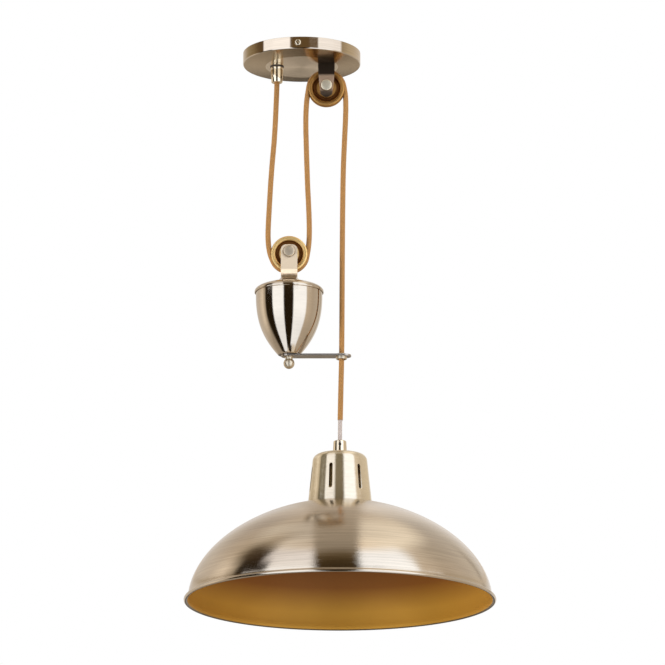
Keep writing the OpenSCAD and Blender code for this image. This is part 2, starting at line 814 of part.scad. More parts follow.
// Lid: a flared neck that runs out into a low dome with a turned down lip
module weight_lid() {
  r = lid_d / 2;
  neck = neck_d / 2;
  flare = bezier([[neck, lid_top - 1], [neck + 2.5, lid_top - 4.5],
                  [neck + 6, lid_top - 7.2], [r * 0.66, lid_top - 9.2]], 8);
  brow = bezier([[r * 0.66, lid_top - 9.2], [r * 0.86, lid_top - 11.6],
                 [r, lid_top - 13.6], [r, lip_z + 1]], 8);
  inside = bezier([[r - weight_wall, lip_z + 1], [r - weight_wall, lid_top - 13.6 - weight_wall],
                   [r * 0.86 - 1, lid_top - 11.6 - weight_wall],
                   [r * 0.66 - 1, lid_top - 9.2 - weight_wall]], 8);
  color([0.78, 0.68, 0.5])
    translate([weight_x, 0, 0])
      rotate_extrude($fn = 120)
        polygon(concat(
          [[rod_d / 2 + screw_gap, lid_top], [neck - 0.4, lid_top], [neck, lid_top - 0.4]],
          flare,
          [for (i = [1 : 8]) brow[i]],
          [[r, lip_z], [r - weight_wall, lip_z]],
          inside,
          [[neck, lid_top - 7.4 - weight_wall], [rod_d / 2 + screw_gap, lid_top - 7.4 - weight_wall]]));
}

function shell_side(r, foot_r, z0, z1) =
  bezier([[r, z0], [r, z0 - (z0 - z1) * 0.366], [r * 0.907, z0 - (z0 - z1) * 0.654], [foot_r, z1]], 20);

module weight_shell() {
  foot_r = shell_foot_d / 2;
  color([0.78, 0.68, 0.5])
    translate([weight_x, 0, 0])
      rotate_extrude($fn = 120)
        polygon(concat(
          [[shell_r, shell_top]],
          shell_side(shell_r, foot_r, lip_z, foot_z),
          [[rod_d / 2 + screw_gap, foot_z], [rod_d / 2 + screw_gap, foot_z + weight_wall]],
          reversed(shell_side(shell_r - weight_wall, foot_r - weight_wall, lip_z,
                              foot_z + weight_wall)),
          [[shell_r - weight_wall, shell_top]]));
}

module ballast_slug() {
  r = shell_r - weight_wall - slug_gap;
  foot_r = shell_foot_d / 2 - weight_wall - slug_gap * 2;
  color([0.3, 0.3, 0.31])
    translate([weight_x, 0, 0])
      rotate_extrude()
        polygon(concat(
          [[rod_d / 2 + screw_gap, slug_top], [r, slug_top]],
          shell_side(r, foot_r, lip_z, foot_z + weight_wall + seat_gap),
          [[rod_d / 2 + screw_gap, foot_z + weight_wall + seat_gap]]));
}

module tie_rod() {
  color([0.7, 0.7, 0.68]) translate([weight_x, 0, 0]) rod(rod_d, rod_bottom, fork_base_top);
}

module tie_rod_nut() {
  color([0.7, 0.7, 0.68])
    translate([weight_x, 0, 0])
      hex_nut(rod_nut_af, rod_d + 2 * thread_gap, slug_top, nut_h);
}

module guide_arm() {
  r = arm_w / 2;
  color([0.68, 0.63, 0.58])
    translate([weight_x, 0, arm_bottom])
      difference() {
        linear_extrude(arm_t)
          polygon(concat(arc(-1, 0, r, 90, 270, 24), arc(arm_reach + 3, 0, r, -90, 90, 24)));
        translate([0, 0, -1]) cylinder(d = rod_d + 2 * screw_gap, h = arm_t + 2);
        translate([arm_reach, 0, -1])
          cylinder(d = eyelet_d - 1.6 + 2 * seat_gap, h = arm_t + 2);
      }
}

module guide_eyelet() {
  r = eyelet_d / 2;
  bore = eyelet_bore_d / 2;
  color([0.72, 0.58, 0.36])
    translate([eyelet_x, 0, 0])
      rotate_extrude()
        polygon(concat(
          [[bore, foot_z + 0.4], [bore, arm_bottom - 2.8], [bore + 0.3, arm_bottom - 3.1]],
          [[r - 0.9, arm_bottom - 3.1], [r - 0.4, arm_bottom - 2.4], [r - 0.4, arm_bottom - 1.7],
           [r, arm_bottom - 1.2], [r, arm_bottom], [r - 0.8, arm_bottom], [r - 0.8, foot_z],
           [r, foot_z], [r, foot_z + 0.5]],
          arc(r - 0.5, foot_z + 0.5, 0.5, 0, 90, 4),
          [[bore + 0.6, foot_z + 1]]));
}

module finial() {
  r = ball_d / 2;
  neck = 4;
  top = asin(neck / r);
  color([0.84, 0.76, 0.6])
    translate([weight_x, 0, 0])
      rotate_extrude()
        polygon(concat(
          [[rod_d / 2 + thread_gap, arm_bottom], [collar_r, arm_bottom],
           [collar_r, arm_bottom - collar_h], [neck, arm_bottom - collar_h - 0.4]],
          arc(0, ball_z, r, 90 - top, -90, 20),
          [[0, rod_bottom - 0.3], [rod_d / 2 + thread_gap, rod_bottom - 0.3]]));
}

// ---------- flex ----------

module cord_loop() {
  under = arc(weight_x, weight_axle_z, pitch_r, weight_left_a, weight_right_a, 16);
  end = arc(top_x, top_axle_z, pitch_r, top_left_a, top_left_a, 1);
  color([0.72, 0.5, 0.28])
    swept(in_plane(concat(left_strand, under, middle_strand, [end[0]])), cord_d,
          [0, 0, -1], clockwise(top_left_a));
}

module cord_over_top() {
  color([0.72, 0.5, 0.28])
    swept(in_plane(arc(top_x, top_axle_z, pitch_r, top_left_a, top_right_a, 18)), cord_d,
          clockwise(top_left_a), clockwise(top_right_a));
}

module cord_drop() {
  start = arc(top_x, top_axle_z, pitch_r, top_right_a, top_right_a, 1);
  color([0.72, 0.5, 0.28])
    swept(in_plane(concat([start[0]], drop_strand)), cord_d, clockwise(top_right_a), [0, 0, -1]);
}

module cord_tail() {
  color([0.8, 0.76, 0.7]) swept(in_plane(tail_strand), tail_d, [0, 0, -1], [0, 0, -1]);
}

// ---------- lamp ----------

module cord_grip() {
  foot = grip_foot_z + seat_gap;
  bore = tail_d + 2 * cord_gap;
  color([0.84, 0.76, 0.6])
    translate([lamp_x, 0, 0])
      difference() {
        rotate_extrude()
          polygon(concat(
            [[bore / 2, grip_step_z], [bore / 2, grip_top]],
            arc(grip_top_d / 2 - 1, grip_top - 1, 1, 90, 0, 5),
            [[grip_foot_d / 2, foot + 1.2], [grip_foot_d / 2, foot],
             [nipple_d / 2 + thread_gap, foot], [nipple_d / 2 + thread_gap, grip_step_z]]));
        translate([-grip_notch_w / 2, -grip_foot_d, grip_top - grip_notch_h])
          cube([grip_notch_w, grip_foot_d, grip_notch_h + 1]);
        translate([0, 0, grip_screw_z])
          rotate([90, 0, 0]) cylinder(d = grub_d + 2 * thread_gap, h = grip_foot_d);
      }
}

module cord_grip_screw() {
  inner = tail_d / 2 + cord_gap;
  outer = grip_top_d / 2 - 0.4;
  color([0.3, 0.29, 0.27])
    translate([lamp_x, 0, grip_screw_z])
      rotate([90, 0, 0])
        difference() {
          translate([0, 0, inner]) cylinder(d = grub_d, h = outer - inner);
          translate([-grub_slot_w / 2, -grub_d, outer - grub_slot_h])
            cube([grub_slot_w, grub_d * 2, grub_slot_h + 1]);
        }
}

// Outline of the cover's outside, from the nipple hole outwards and down
function cover_side(inset) =
  let (shoulder = cover_shoulder_d / 2 - inset, r = cover_shoulder_r - inset)
  concat(
    [for (i = [0 : 4]) let (x = nipple_d / 2 + screw_gap
                                + (crown_r - nipple_d / 2 - screw_gap) * i / 4)
      [x, cover_top + crown * (1 - pow(x / crown_r, 2)) - inset]],
    [for (i = [1 : 8]) [crown_r + r * sin(i * 10), cover_top - cover_shoulder_r + r * cos(i * 10)]],
    [[cover_foot_r - inset, cover_foot_z]]);

module lampholder_cover() {
  color([0.78, 0.68, 0.5])
    translate([lamp_x, 0, 0])
      difference() {
        rotate_extrude($fn = 120)
          polygon(concat(cover_side(0), reversed(cover_side(cover_wall))));
        for (i = [0 : vent_n - 1])
          rotate([0, 0, -90 + vent_turn + i * 360 / vent_n]) vent();
      }
}

// One vent: a long hole with round ends, cut outwards along +X
module vent() {
  half = (vent_l - vent_w) / 2;
  translate([cover_shoulder_d / 2 - 12, 0, vent_z])
    rotate([0, 90, 0]) {
      for (s = [-1, 1])
        translate([s * half, 0, 0]) cylinder(d = vent_w, h = 24);
      translate([-half, -vent_w / 2, 0]) cube([half * 2, vent_w, 24]);
    }
}

module nipple() {
  color([0.7, 0.7, 0.68])
    translate([lamp_x, 0, 0])
      tube(nipple_d, nipple_d - 3.4, nipple_bottom, nipple_top);
}

module nipple_nut() {
  color([0.7, 0.7, 0.68])
    translate([lamp_x, 0, 0])
      hex_nut(stem_nut_af, nipple_d + 2 * thread_gap, cover_under - thin_nut_h - 0.6, thin_nut_h);
}

module lampholder_cap() {
  r = holder_r + cap_proud;
  corner = 7;
  color([0.14, 0.13, 0.12])
    translate([lamp_x, 0, 0])
      rotate_extrude()
        polygon(concat(
          [[nipple_d / 2 + thread_gap, holder_cap_top]],
          arc(r - corner, holder_cap_top - corner, corner, 90, 0, 8),
          [[r, holder_top], [r - cap_wall, holder_top]],
          arc(r - corner, holder_cap_top - corner, corner - cap_wall, 0, 90, 8),
          [[nipple_d / 2 + 3, holder_cap_top - cap_wall], [nipple_d / 2 + 3, holder_cap_top - 5],
           [nipple_d / 2 + thread_gap, holder_cap_top - 5]]));
}

// Threaded body: ridges stand for the shade ring's thread
module lampholder_body() {
  neck_r = holder_r + cap_proud - cap_wall - tuck_gap;
  ridges = floor((holder_h - 8) / thread_pitch);
  color([0.14, 0.13, 0.12])
    translate([lamp_x, 0, 0])
      rotate_extrude()
        polygon(concat(
          [[insert_r + tuck_gap, ledge_z], [insert_r + tuck_gap, holder_top + neck_h],
           [neck_r, holder_top + neck_h], [neck_r, holder_top], [holder_r, holder_top]],
          [for (i = [1 : ridges], k = [0 : 2])
            [holder_r - (k == 1 ? thread_h : 0), holder_top - thread_pitch * i - (k - 1) * 0.8]],
          [[holder_r, holder_bottom + 0.8], [holder_r - 0.8, holder_bottom],
           [shell_out_r + seat_gap, holder_bottom], [shell_out_r + seat_gap, ledge_z]]));
}

module lampholder_insert() {
  color([0.9, 0.88, 0.82])
    translate([lamp_x, 0, 0])
      difference() {
        rod(insert_r * 2, ledge_z + seat_gap, insert_top);
        for (k = [0 : 2])
          rotate([0, 0, 120 * k + 180])
            translate([insert_screw_x, 0, insert_top - 5])
              cylinder(d = small_screw_d + 2 * thread_gap, h = 6);
      }
}

module insert_screws() {
  color([0.75, 0.75, 0.74])
    translate([lamp_x, 0, 0])
      for (k = [0 : 2])
        rotate([0, 0, 120 * k + 180])
          translate([insert_screw_x, 0, insert_top + 0.1])
            slot_screw(small_screw_d, small_head_d + 0.6, small_head_h, 4);
}

module screw_shell() {
  color([0.8, 0.72, 0.5])
    translate([lamp_x, 0, 0])
      tube(shell_out_r * 2, socket_d, shell_start_z, shell_end_z);
}

module centre_contact() {
  color([0.85, 0.72, 0.4])
    translate([lamp_x, 0, 0]) {
      rod(8, ledge_z - 0.6, ledge_z);
      rod(4, ledge_z - 2, ledge_z - 0.6);
    }
}

module lamp_core(k) {
  a = 120 * k + 180;
  out = [cos(a), sin(a), 0];
  centre = [lamp_x, 0, 0];
  path = [
    centre + core_ring_r * out + [0, 0, tail_end],
    centre + core_ring_r * out + [0, 0, nipple_bottom + 2],
    centre + 1.4 * out + [0, 0, nipple_bottom - 0.5],
    centre + 4 * out + [0, 0, nipple_bottom - 5],
    centre + (insert_screw_x - 0.1) * out + [0, 0, insert_top + 5.5],
    centre + insert_screw_x * out + [0, 0, insert_top + small_head_h + 0.3]
  ];
  swept(path, core_d, [0, 0, -1], [0, 0, -1], 8);
}

module lamp_live_core() {
  color([0.42, 0.22, 0.1]) lamp_core(0);
}

module lamp_neutral_core() {
  color([0.15, 0.35, 0.75]) lamp_core(1);
}

module lamp_earth_core() {
  color([0.45, 0.65, 0.15]) lamp_core(2);
}

// Ring with finger notches that runs on the lampholder's thread
module shade_ring(z0) {
  difference() {
    tube(ring_d, holder_d + 2 * tuck_gap, z0, z0 + ring_h);
    for (i = [0 : 11])
      rotate([0, 0, i * 30])
        translate([ring_r + 0.6, 0, z0 - 1]) cylinder(d = 3, h = ring_h + 2);
  }
}

module shade_ring_upper() {
  color([0.14, 0.13, 0.12])
    translate([lamp_x, 0, 0]) shade_ring(shade_top_at(holder_r) + seat_gap);
}

module shade_ring_lower() {
  color([0.14, 0.13, 0.12])
    translate([lamp_x, 0, 0])
      shade_ring(shade_top_at(ring_r) - shade_wall - seat_gap * 2 - ring_h);
}

// Dome outline at a distance inside the outer skin, from the centre hole to the rim
function dome_side(inset, hole_r, foot) =
  let (a = shade_in_r - inset, b = dome_h - inset, n = dome_power,
       t0 = acos(pow(hole_r / a, n / 2)), t1 = asin(pow(foot / b, n / 2)))
  [for (i = [0 : 28]) let (t = t0 + (t1 - t0) * i / 28)
    [a * pow(cos(t), 2 / n), rim_z + b * pow(sin(t), 2 / n)]];

module shade() {
  hole_r = holder_r + tuck_gap;
  bead_r = shade_d / 2 - rim_r;
  a = shade_in_r;
  lip = bezier([[a - 0.6, rim_z + 7], [a - 0.2, rim_z + 4.4],
                [bead_r - 1.6, rim_z + 2.6], [bead_r, rim_z + rim_r]], 5);
  lip_in = bezier([[a - 0.6 - shade_wall, rim_z + 7], [a - 0.2 - shade_wall, rim_z + 4.4],
                   [bead_r - 2.2, rim_z + 1.8], [bead_r - rim_r, rim_z]], 5);
  color([0.76, 0.66, 0.5])
    translate([lamp_x, 0, 0])
      rotate_extrude($fn = 180)
        polygon(concat(
          dome_side(0, hole_r, 9),
          lip,
          arc(bead_r, rim_z, rim_r, 75, -165, 12),
          reversed(lip_in),
          reversed(dome_side(shade_wall, hole_r, 9))));
}

ceiling_strap();
canopy();
canopy_side_screws();
earth_screw();
terminal_block();
terminal_barrels();
terminal_screws();
block_screws();
gland_body();
gland_washer();
gland_locknut();
gland_grub_screw();
ceiling_live_core();
ceiling_neutral_core();
ceiling_earth_core();
top_fork();
top_fork_screws();
top_axle();
top_axle_nut();
top_spacers();
cord_loop();
cord_over_top();
cord_drop();
top_sheave();
top_sheave_bush();
weight_fork();
weight_axle();
weight_axle_nut();
weight_spacers();
weight_lid();
weight_shell();
ballast_slug();
tie_rod();
tie_rod_nut();
guide_arm();
guide_eyelet();
finial();
weight_sheave();
weight_sheave_bush();
cord_tail();
cord_grip();
cord_grip_screw();
lampholder_cover();
nipple();
nipple_nut();
lampholder_cap();
lampholder_body();
lampholder_insert();
insert_screws();
screw_shell();
centre_contact();
lamp_live_core();
lamp_neutral_core();
lamp_earth_core();
shade_ring_upper();
shade_ring_lower();
shade();
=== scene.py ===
"""Looks, light and camera for a rise and fall pendant in antique brass.

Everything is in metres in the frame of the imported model: +Z up, X to the right, Y away from the
viewer, and the origin in the middle of the ceiling fixing.
"""

import json
import math

import bmesh
import bpy
import numpy as np
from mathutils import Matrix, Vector


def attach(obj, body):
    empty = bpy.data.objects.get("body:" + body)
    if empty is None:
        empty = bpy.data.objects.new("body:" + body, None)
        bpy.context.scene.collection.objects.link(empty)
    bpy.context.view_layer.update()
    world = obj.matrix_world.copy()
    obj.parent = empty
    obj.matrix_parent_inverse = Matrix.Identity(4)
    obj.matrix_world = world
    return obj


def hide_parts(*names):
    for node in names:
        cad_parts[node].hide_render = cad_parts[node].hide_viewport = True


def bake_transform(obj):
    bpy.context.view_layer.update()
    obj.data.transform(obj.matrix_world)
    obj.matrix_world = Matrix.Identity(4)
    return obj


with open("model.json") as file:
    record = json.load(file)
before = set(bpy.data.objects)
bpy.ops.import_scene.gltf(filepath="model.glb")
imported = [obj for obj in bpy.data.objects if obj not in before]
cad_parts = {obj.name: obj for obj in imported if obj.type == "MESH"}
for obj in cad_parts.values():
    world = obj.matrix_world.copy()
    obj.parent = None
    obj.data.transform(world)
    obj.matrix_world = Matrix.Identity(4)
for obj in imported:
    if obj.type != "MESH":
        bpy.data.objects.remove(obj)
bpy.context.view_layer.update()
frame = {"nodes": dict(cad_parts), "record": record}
nodes = frame["nodes"]

MM = 0.001

# ---------- camera ----------

CAMERA_PLACE = (0.0354, -5.850, -1.7774)
CAMERA_PITCH = math.radians(90 + 13.889)
CAMERA_REACH = 100
LENS_MM = 286.9
SENSOR_MM = 36.0


def make_camera():
    data = bpy.data.cameras.new("camera")
    data.lens = LENS_MM
    data.sensor_width = SENSOR_MM
    data.clip_end = CAMERA_REACH
    camera = new_object("camera", data)
    camera.location = CAMERA_PLACE
    camera.rotation_euler = (CAMERA_PITCH, 0, 0)
    bpy.context.scene.camera = camera
    bpy.context.scene.view_settings.view_transform = "Standard"


# ---------- shader helpers ----------

# Where the Mix node keeps its numbers and its colours.
NUMBER_A, NUMBER_B = 2, 3
COLOUR_A, COLOUR_B, COLOUR_RESULT = 6, 7, 2
SMALLEST_RADIUS = 1e-5


def add(tree, kind, inputs=None, **settings):
    """A new shader node. An input is given a value, or the socket that feeds it."""
    made = tree.nodes.new("ShaderNode" + kind)
    for key, value in settings.items():
        setattr(made, key, value)
    for key, value in (inputs or {}).items():
        if isinstance(value, bpy.types.NodeSocket):
            tree.links.new(value, made.inputs[key])
        else:
            made.inputs[key].default_value = value
    return made


def calc(tree, operation, *values):
    """The result of one Math node."""
    made = add(tree, "Math", dict(enumerate(values)), operation=operation)
    return made.outputs[0]


def ramp(tree, factor, stops):
    """A colour ramp: stops are (place from 0 to 1, colour)."""
    made = add(tree, "ValToRGB", {"Fac": factor})
    elements = made.color_ramp.elements
    while len(elements) < len(stops):
        elements.new(0.5)
    for element, (place, colour) in zip(elements, stops):
        element.position = place
        element.color = (*colour, 1)
    return made.outputs["Color"]


def mixed(tree, factor, a, b):
    """Colour a at factor 0, colour b at factor 1."""
    a, b = (c if isinstance(c, bpy.types.NodeSocket) else (*c, 1) for c in (a, b))
    inputs = {"Factor": factor, COLOUR_A: a, COLOUR_B: b}
    return add(tree, "Mix", inputs, data_type="RGBA").outputs[COLOUR_RESULT]


def blended(tree, factor, a, b):
    """Number a at factor 0, number b at factor 1."""
    return add(tree, "Mix", {"Factor": factor, NUMBER_A: a, NUMBER_B: b}).outputs[0]


def spread(tree, value, low, high):
    """A value from 0 to 1, spread from low to high."""
    made = add(tree, "MapRange", {"Value": value, "To Min": low, "To Max": high})
    return made.outputs["Result"]


def new_material(name, colour, **sockets):
    """A material and its Principled node, with sockets such as Metallic set to plain numbers."""
    material = bpy.data.materials.new(name)
    material.use_nodes = True
    tree = material.node_tree
    shader = tree.nodes["Principled BSDF"]
    shader.inputs["Base Color"].default_value = (*colour, 1)
    material.diffuse_color = (*colour, 1)
    for key, value in sockets.items():
        shader.inputs[key.replace("_", " ")].default_value = value
    return material, tree, shader


def ease(tree, value, start, end):
    """0 to 1 while the value goes from start to end."""
    inputs = {"Value": value, "From Min": start, "From Max": end}
    return add(tree, "MapRange", inputs).outputs[0]


def position(tree):
    """The place of a surface point in its object, which is also its place in the frame."""
    return add(tree, "TexCoord").outputs["Object"]


def noise(tree, scale, detail=2.0):
    """Cloudy noise from 0 to 1 at a surface point."""
    inputs = {"Vector": position(tree), "Scale": scale, "Detail": detail}
    return add(tree, "TexNoise", inputs).outputs["Fac"]


def share_of_height(tree, low, high):
    """0 to 1 while a surface point's height goes from low to high, in millimetres."""
    up = add(tree, "SeparateXYZ", {0: position(tree)}).outputs[2]
    return ease(tree, up, low * MM, high * MM)


def turned(tree, centre, axis):
    """(direction round the axis as x and y, radius, place along the axis) of a surface point."""
    offset = add(tree, "VectorMath", {0: position(tree), 1: centre}, operation="SUBTRACT")
    x, y, z = add(tree, "SeparateXYZ", {0: offset.outputs[0]}).outputs
    across, along = ((x, y), z) if axis == "Z" else ((x, z), y)
    squares = [calc(tree, "MULTIPLY", side, side) for side in across]
    radius = calc(tree, "SQRT", calc(tree, "ADD", *squares))
    safe = calc(tree, "MAXIMUM", radius, SMALLEST_RADIUS)
    turn = [calc(tree, "DIVIDE", side, safe) for side in across]
    return turn, radius, along


def brush_marks(tree, centre, axis, pitch, breaks=2.2):
    """Marks that run round an axis: pitch is their spacing in metres, breaks how often they end."""
    turn, radius, along = turned(tree, centre, axis)
    stretched = [calc(tree, "MULTIPLY", side, breaks) for side in turn]
    lines = calc(tree, "DIVIDE", along, pitch)
    vector = add(tree, "CombineXYZ", {0: stretched[0], 1: stretched[1], 2: lines}).outputs[0]
    inputs = {"Vector": vector, "Scale": 1.0, "Detail": 4.0, "Roughness": 0.6}
    inputs["W"] = calc(tree, "DIVIDE", radius, pitch)
    return add(tree, "TexNoise", inputs, noise_dimensions="4D").outputs["Fac"]


def feed(tree, shader, colour, roughness):
    """Feeds the shader's colour and roughness."""
    tree.links.new(colour, shader.inputs["Base Color"])
    tree.links.new(roughness, shader.inputs["Roughness"])


def bump(tree, shader, height, strength, distance):
    """Feeds a height into the shader's normal."""
    made = add(tree, "Bump", {"Height": height, "Strength": strength, "Distance": distance})
    tree.links.new(made.outputs["Normal"], shader.inputs["Normal"])


def darker(colour, share):
    """The colour times a share, which may be above 1."""
    return tuple(c * share for c in colour)


# ---------- materials ----------

BRASS = (0.66, 0.565, 0.44)
PALE_BRASS = (0.84, 0.72, 0.52)
COVER_BRASS = (0.74, 0.65, 0.51)
TOP_FORK_BRASS = (0.72, 0.50, 0.33)
WEIGHT_FORK_BRASS = (0.60, 0.495, 0.37)
SHEAVE_BRASS = (0.98, 0.66, 0.26)
SHADED_SHEAVE_BRASS = (0.52, 0.27, 0.075)
RECESS_SHADE = (0.20, 0.075, 0.018)
GOLD_PAINT = (0.54, 0.27, 0.032)
SHADED_RED_PAINT = (0.19, 0.055, 0.006)
DEEP_SHADE_PAINT = (0.125, 0.032, 0.004)
SHADED_CONE_BRASS = (0.58, 0.45, 0.29)
LIT_FACE_BRASS = (0.80, 0.69, 0.54)
PATINA = (0.62, 0.50, 0.30)
PIN_BRASS = (1.0, 0.88, 0.64)
WEIGHT_PIN_BRASS = (0.82, 0.67, 0.47)
SATIN_BRASS = (0.72, 0.61, 0.44)
RIM_SHADE_BRASS = (0.20, 0.155, 0.09)
HOLDER_BRASS = (0.80, 0.60, 0.28)
CONTACT_BRASS = (0.72, 0.52, 0.24)
BUSH_BRONZE = (0.42, 0.24, 0.11)
ARM_STEEL = (0.55, 0.49, 0.42)
DARK_STEEL = (0.10, 0.095, 0.09)
CAST_IRON = (0.07, 0.068, 0.066)
ZINC = (0.62, 0.62, 0.60)
CERAMIC = (0.82, 0.80, 0.74)
BLACK = (0.022, 0.021, 0.02)
CREAM = (0.78, 0.77, 0.73)
FIBRE = (0.045, 0.035, 0.028)
LIVE_BROWN = (0.16, 0.055, 0.02)
NEUTRAL_BLUE = (0.03, 0.14, 0.45)
EARTH_GREEN = (0.10, 0.36, 0.06)
# The flex's dark colour fills the dips between its strands as painted shade; the tail's dark colour
# is what shows under its braid.
FLEX_LIGHT, FLEX_DIP_SHADE = (0.44, 0.225, 0.068), (0.19, 0.080, 0.020)
TAIL_LIGHT, TAIL_DARK = (0.78, 0.66, 0.59), (0.05, 0.04, 0.035)

# Painted light and shade on the forks, by height in millimetres, as shares of their brass:
# the top fork is painted dark at its top and its lower end, the counterweight fork lighter at its
# foot.
TOP_FORK_LIGHT_AND_SHADE = [(-56, 0.06), (-50, 0.22), (-45, 1.3), (-31, 1.15), (-28.5, 0.05), (-16, 0.03)]
WEIGHT_FORK_PAINTED_LIGHT = [(-290, 1.5), (-261, 1.5), (-259.5, 0.95), (-226, 0.95)]
# How close another surface has to be for a corner to get painted shade, and how dark that painted
# shade is.
CORNER_REACH = 0.0016
CORNER_SHADE_TONE = 0.05
BRUSHED_ROUND = 0.25


def brushed_brass(
    name, centre, axis="Z", rough=0.16, pitch=0.0022, marks=0.05, colour=BRASS, contrast=0.12,
    anisotropic=0.75, veil=0.0,
):
    """Brass brushed round an axis and lacquered: its streaks follow the turning.

    pitch is the spacing of the streaks in metres, marks their depth and contrast their tone.
    veil is the share of dull patina over the metal.
    """
    material, tree, shader = new_material(name, colour, Metallic=1.0, Anisotropic=anisotropic)
    shader.inputs["Anisotropic Rotation"].default_value = BRUSHED_ROUND
    tangent = add(tree, "Tangent", direction_type="RADIAL", axis=axis)
    tree.links.new(tangent.outputs[0], shader.inputs["Tangent"])
    coarse = brush_marks(tree, centre, axis, pitch)
    fine = brush_marks(tree, centre, axis, pitch / 9, breaks=4.0)
    patina = noise(tree, scale=26.0, detail=3.0)
    tone = mixed(tree, coarse, darker(colour, 1 - contrast), darker(colour, 1 + contrast))
    aged = mixed(tree, spread(tree, patina, 0.0, 0.30), tone, darker(colour, 0.80))
    feed(tree, shader, aged, spread(tree, coarse, rough * 0.7, rough * 1.4))
    height = calc(tree, "ADD", coarse, calc(tree, "MULTIPLY", fine, 0.5))
    bump(tree, shader, height, strength=marks, distance=0.0004)
    if veil:
        dull = add(tree, "BsdfDiffuse", {"Color": (*PATINA, 1)})
        share = spread(tree, fine, veil * 0.4, veil * 1.6)
        both = add(tree, "MixShader", {0: share, 1: shader.outputs[0], 2: dull.outputs[0]})
        tree.links.new(both.outputs[0], tree.nodes["Material Output"].inputs["Surface"])
    return material


def polished_brass(name, colour=PALE_BRASS, rough=0.10):
    """Smooth brass with a faint clouding."""
    material, tree, shader = new_material(name, colour, Metallic=1.0)
    cloud = noise(tree, scale=300.0, detail=3.0)
    tone = mixed(tree, cloud, darker(colour, 0.9), darker(colour, 1.08))
    feed(tree, shader, tone, spread(tree, cloud, rough * 0.7, rough * 1.5))
    grain = noise(tree, scale=900.0)
    bump(tree, shader, grain, strength=0.02, distance=0.0002)
    return material


def paint_corner_shade(tree, tone, corner_shade):
    """The tone, with painted shade where another surface stands close."""
    openness = add(tree, "AmbientOcclusion", {"Distance": CORNER_REACH}, samples=6)
    return mixed(tree, openness.outputs["AO"], corner_shade, tone)


def satin_metal(name, colour, rough=0.42, heights=(), metal=1.0):
    """Tumbled metal with a fine even grain and painted shade in its corners. heights give painted
    light and shade by height: (mm, share).
    """
    material, tree, shader = new_material(name, colour, Metallic=metal)
    fine = noise(tree, scale=1500.0, detail=3.0)
    cloud = noise(tree, scale=160.0, detail=3.0)
    tone = mixed(tree, cloud, darker(colour, 0.86), darker(colour, 1.1))
    # Painted light and shade by height.
    if heights:
        low, high = heights[0][0], heights[-1][0]
        stops = [((z - low) / (high - low), darker(colour, share)) for z, share in heights]
        tone = mixed(tree, 0.95, tone, ramp(tree, share_of_height(tree, low, high), stops))
    # Painted shade in corners, where another surface stands close.
    tone = paint_corner_shade(tree, tone, darker(colour, CORNER_SHADE_TONE))
    feed(tree, shader, tone, spread(tree, fine, rough * 0.75, rough * 1.25))
    bump(tree, shader, fine, strength=0.12, distance=0.0002)
    return material


def gold_paint(name):
    """Satin metallic paint inside the shade, painted redder and darker towards the crown as painted
    shade.
    """
    material, tree, shader = new_material(name, GOLD_PAINT, Metallic=0.6)
    cloud = noise(tree, scale=30.0, detail=4.0)
    sparkle = noise(tree, scale=2600.0, detail=1.0)
    # Painted shade: the paint goes redder and darker deeper into the dome.
    shade_depth = share_of_height(tree, RIM_Z, RIM_Z + PAINT_SHADE_FADE)
    shaded_paint = ramp(tree, shade_depth, [(0.0, GOLD_PAINT), (0.22, darker(GOLD_PAINT, 0.92)),
                                    (0.55, SHADED_RED_PAINT), (1.0, DEEP_SHADE_PAINT)])
    tone = mixed(tree, cloud, shaded_paint, mixed(tree, 0.12, shaded_paint, DEEP_SHADE_PAINT))
    flake = mixed(tree, spread(tree, sparkle, 0.0, 0.20), tone, GOLD_PAINT)
    feed(tree, shader, flake, spread(tree, cloud, 0.50, 0.58))
    grain = noise(tree, scale=1100.0)
    bump(tree, shader, grain, strength=0.10, distance=0.0002)
    return material


def moulded(name, colour, rough):
    """Moulded plastic with a fine mould texture."""
    material, tree, shader = new_material(name, colour)
    fine = noise(tree, scale=2400.0)
    cloud = noise(tree, scale=90.0)
    tone = mixed(tree, cloud, darker(colour, 0.88), darker(colour, 1.1))
    feed(tree, shader, tone, spread(tree, cloud, rough * 0.85, rough * 1.2))
    bump(tree, shader, fine, strength=0.10, distance=0.0002)
    return material


def glazed(name, colour):
    """Glazed ceramic with faint specks."""
    material, tree, shader = new_material(name, colour)
    speck = noise(tree, scale=500.0, detail=4.0)
    tone = mixed(tree, spread(tree, speck, 0, 0.5), colour, darker(colour, 0.9))
    feed(tree, shader, tone, spread(tree, speck, 0.12, 0.22))
    return material


def cast(name, colour):
    """Rough cast metal with pits."""
    material, tree, shader = new_material(name, colour, Metallic=0.7)
    pits = noise(tree, scale=420.0, detail=5.0)
    pits.node.inputs["Roughness"].default_value = 0.65
    tone = mixed(tree, pits, darker(colour, 0.6), darker(colour, 1.4))
    feed(tree, shader, tone, spread(tree, pits, 0.55, 0.8))
    bump(tree, shader, pits, strength=0.6, distance=0.0006)
    return material


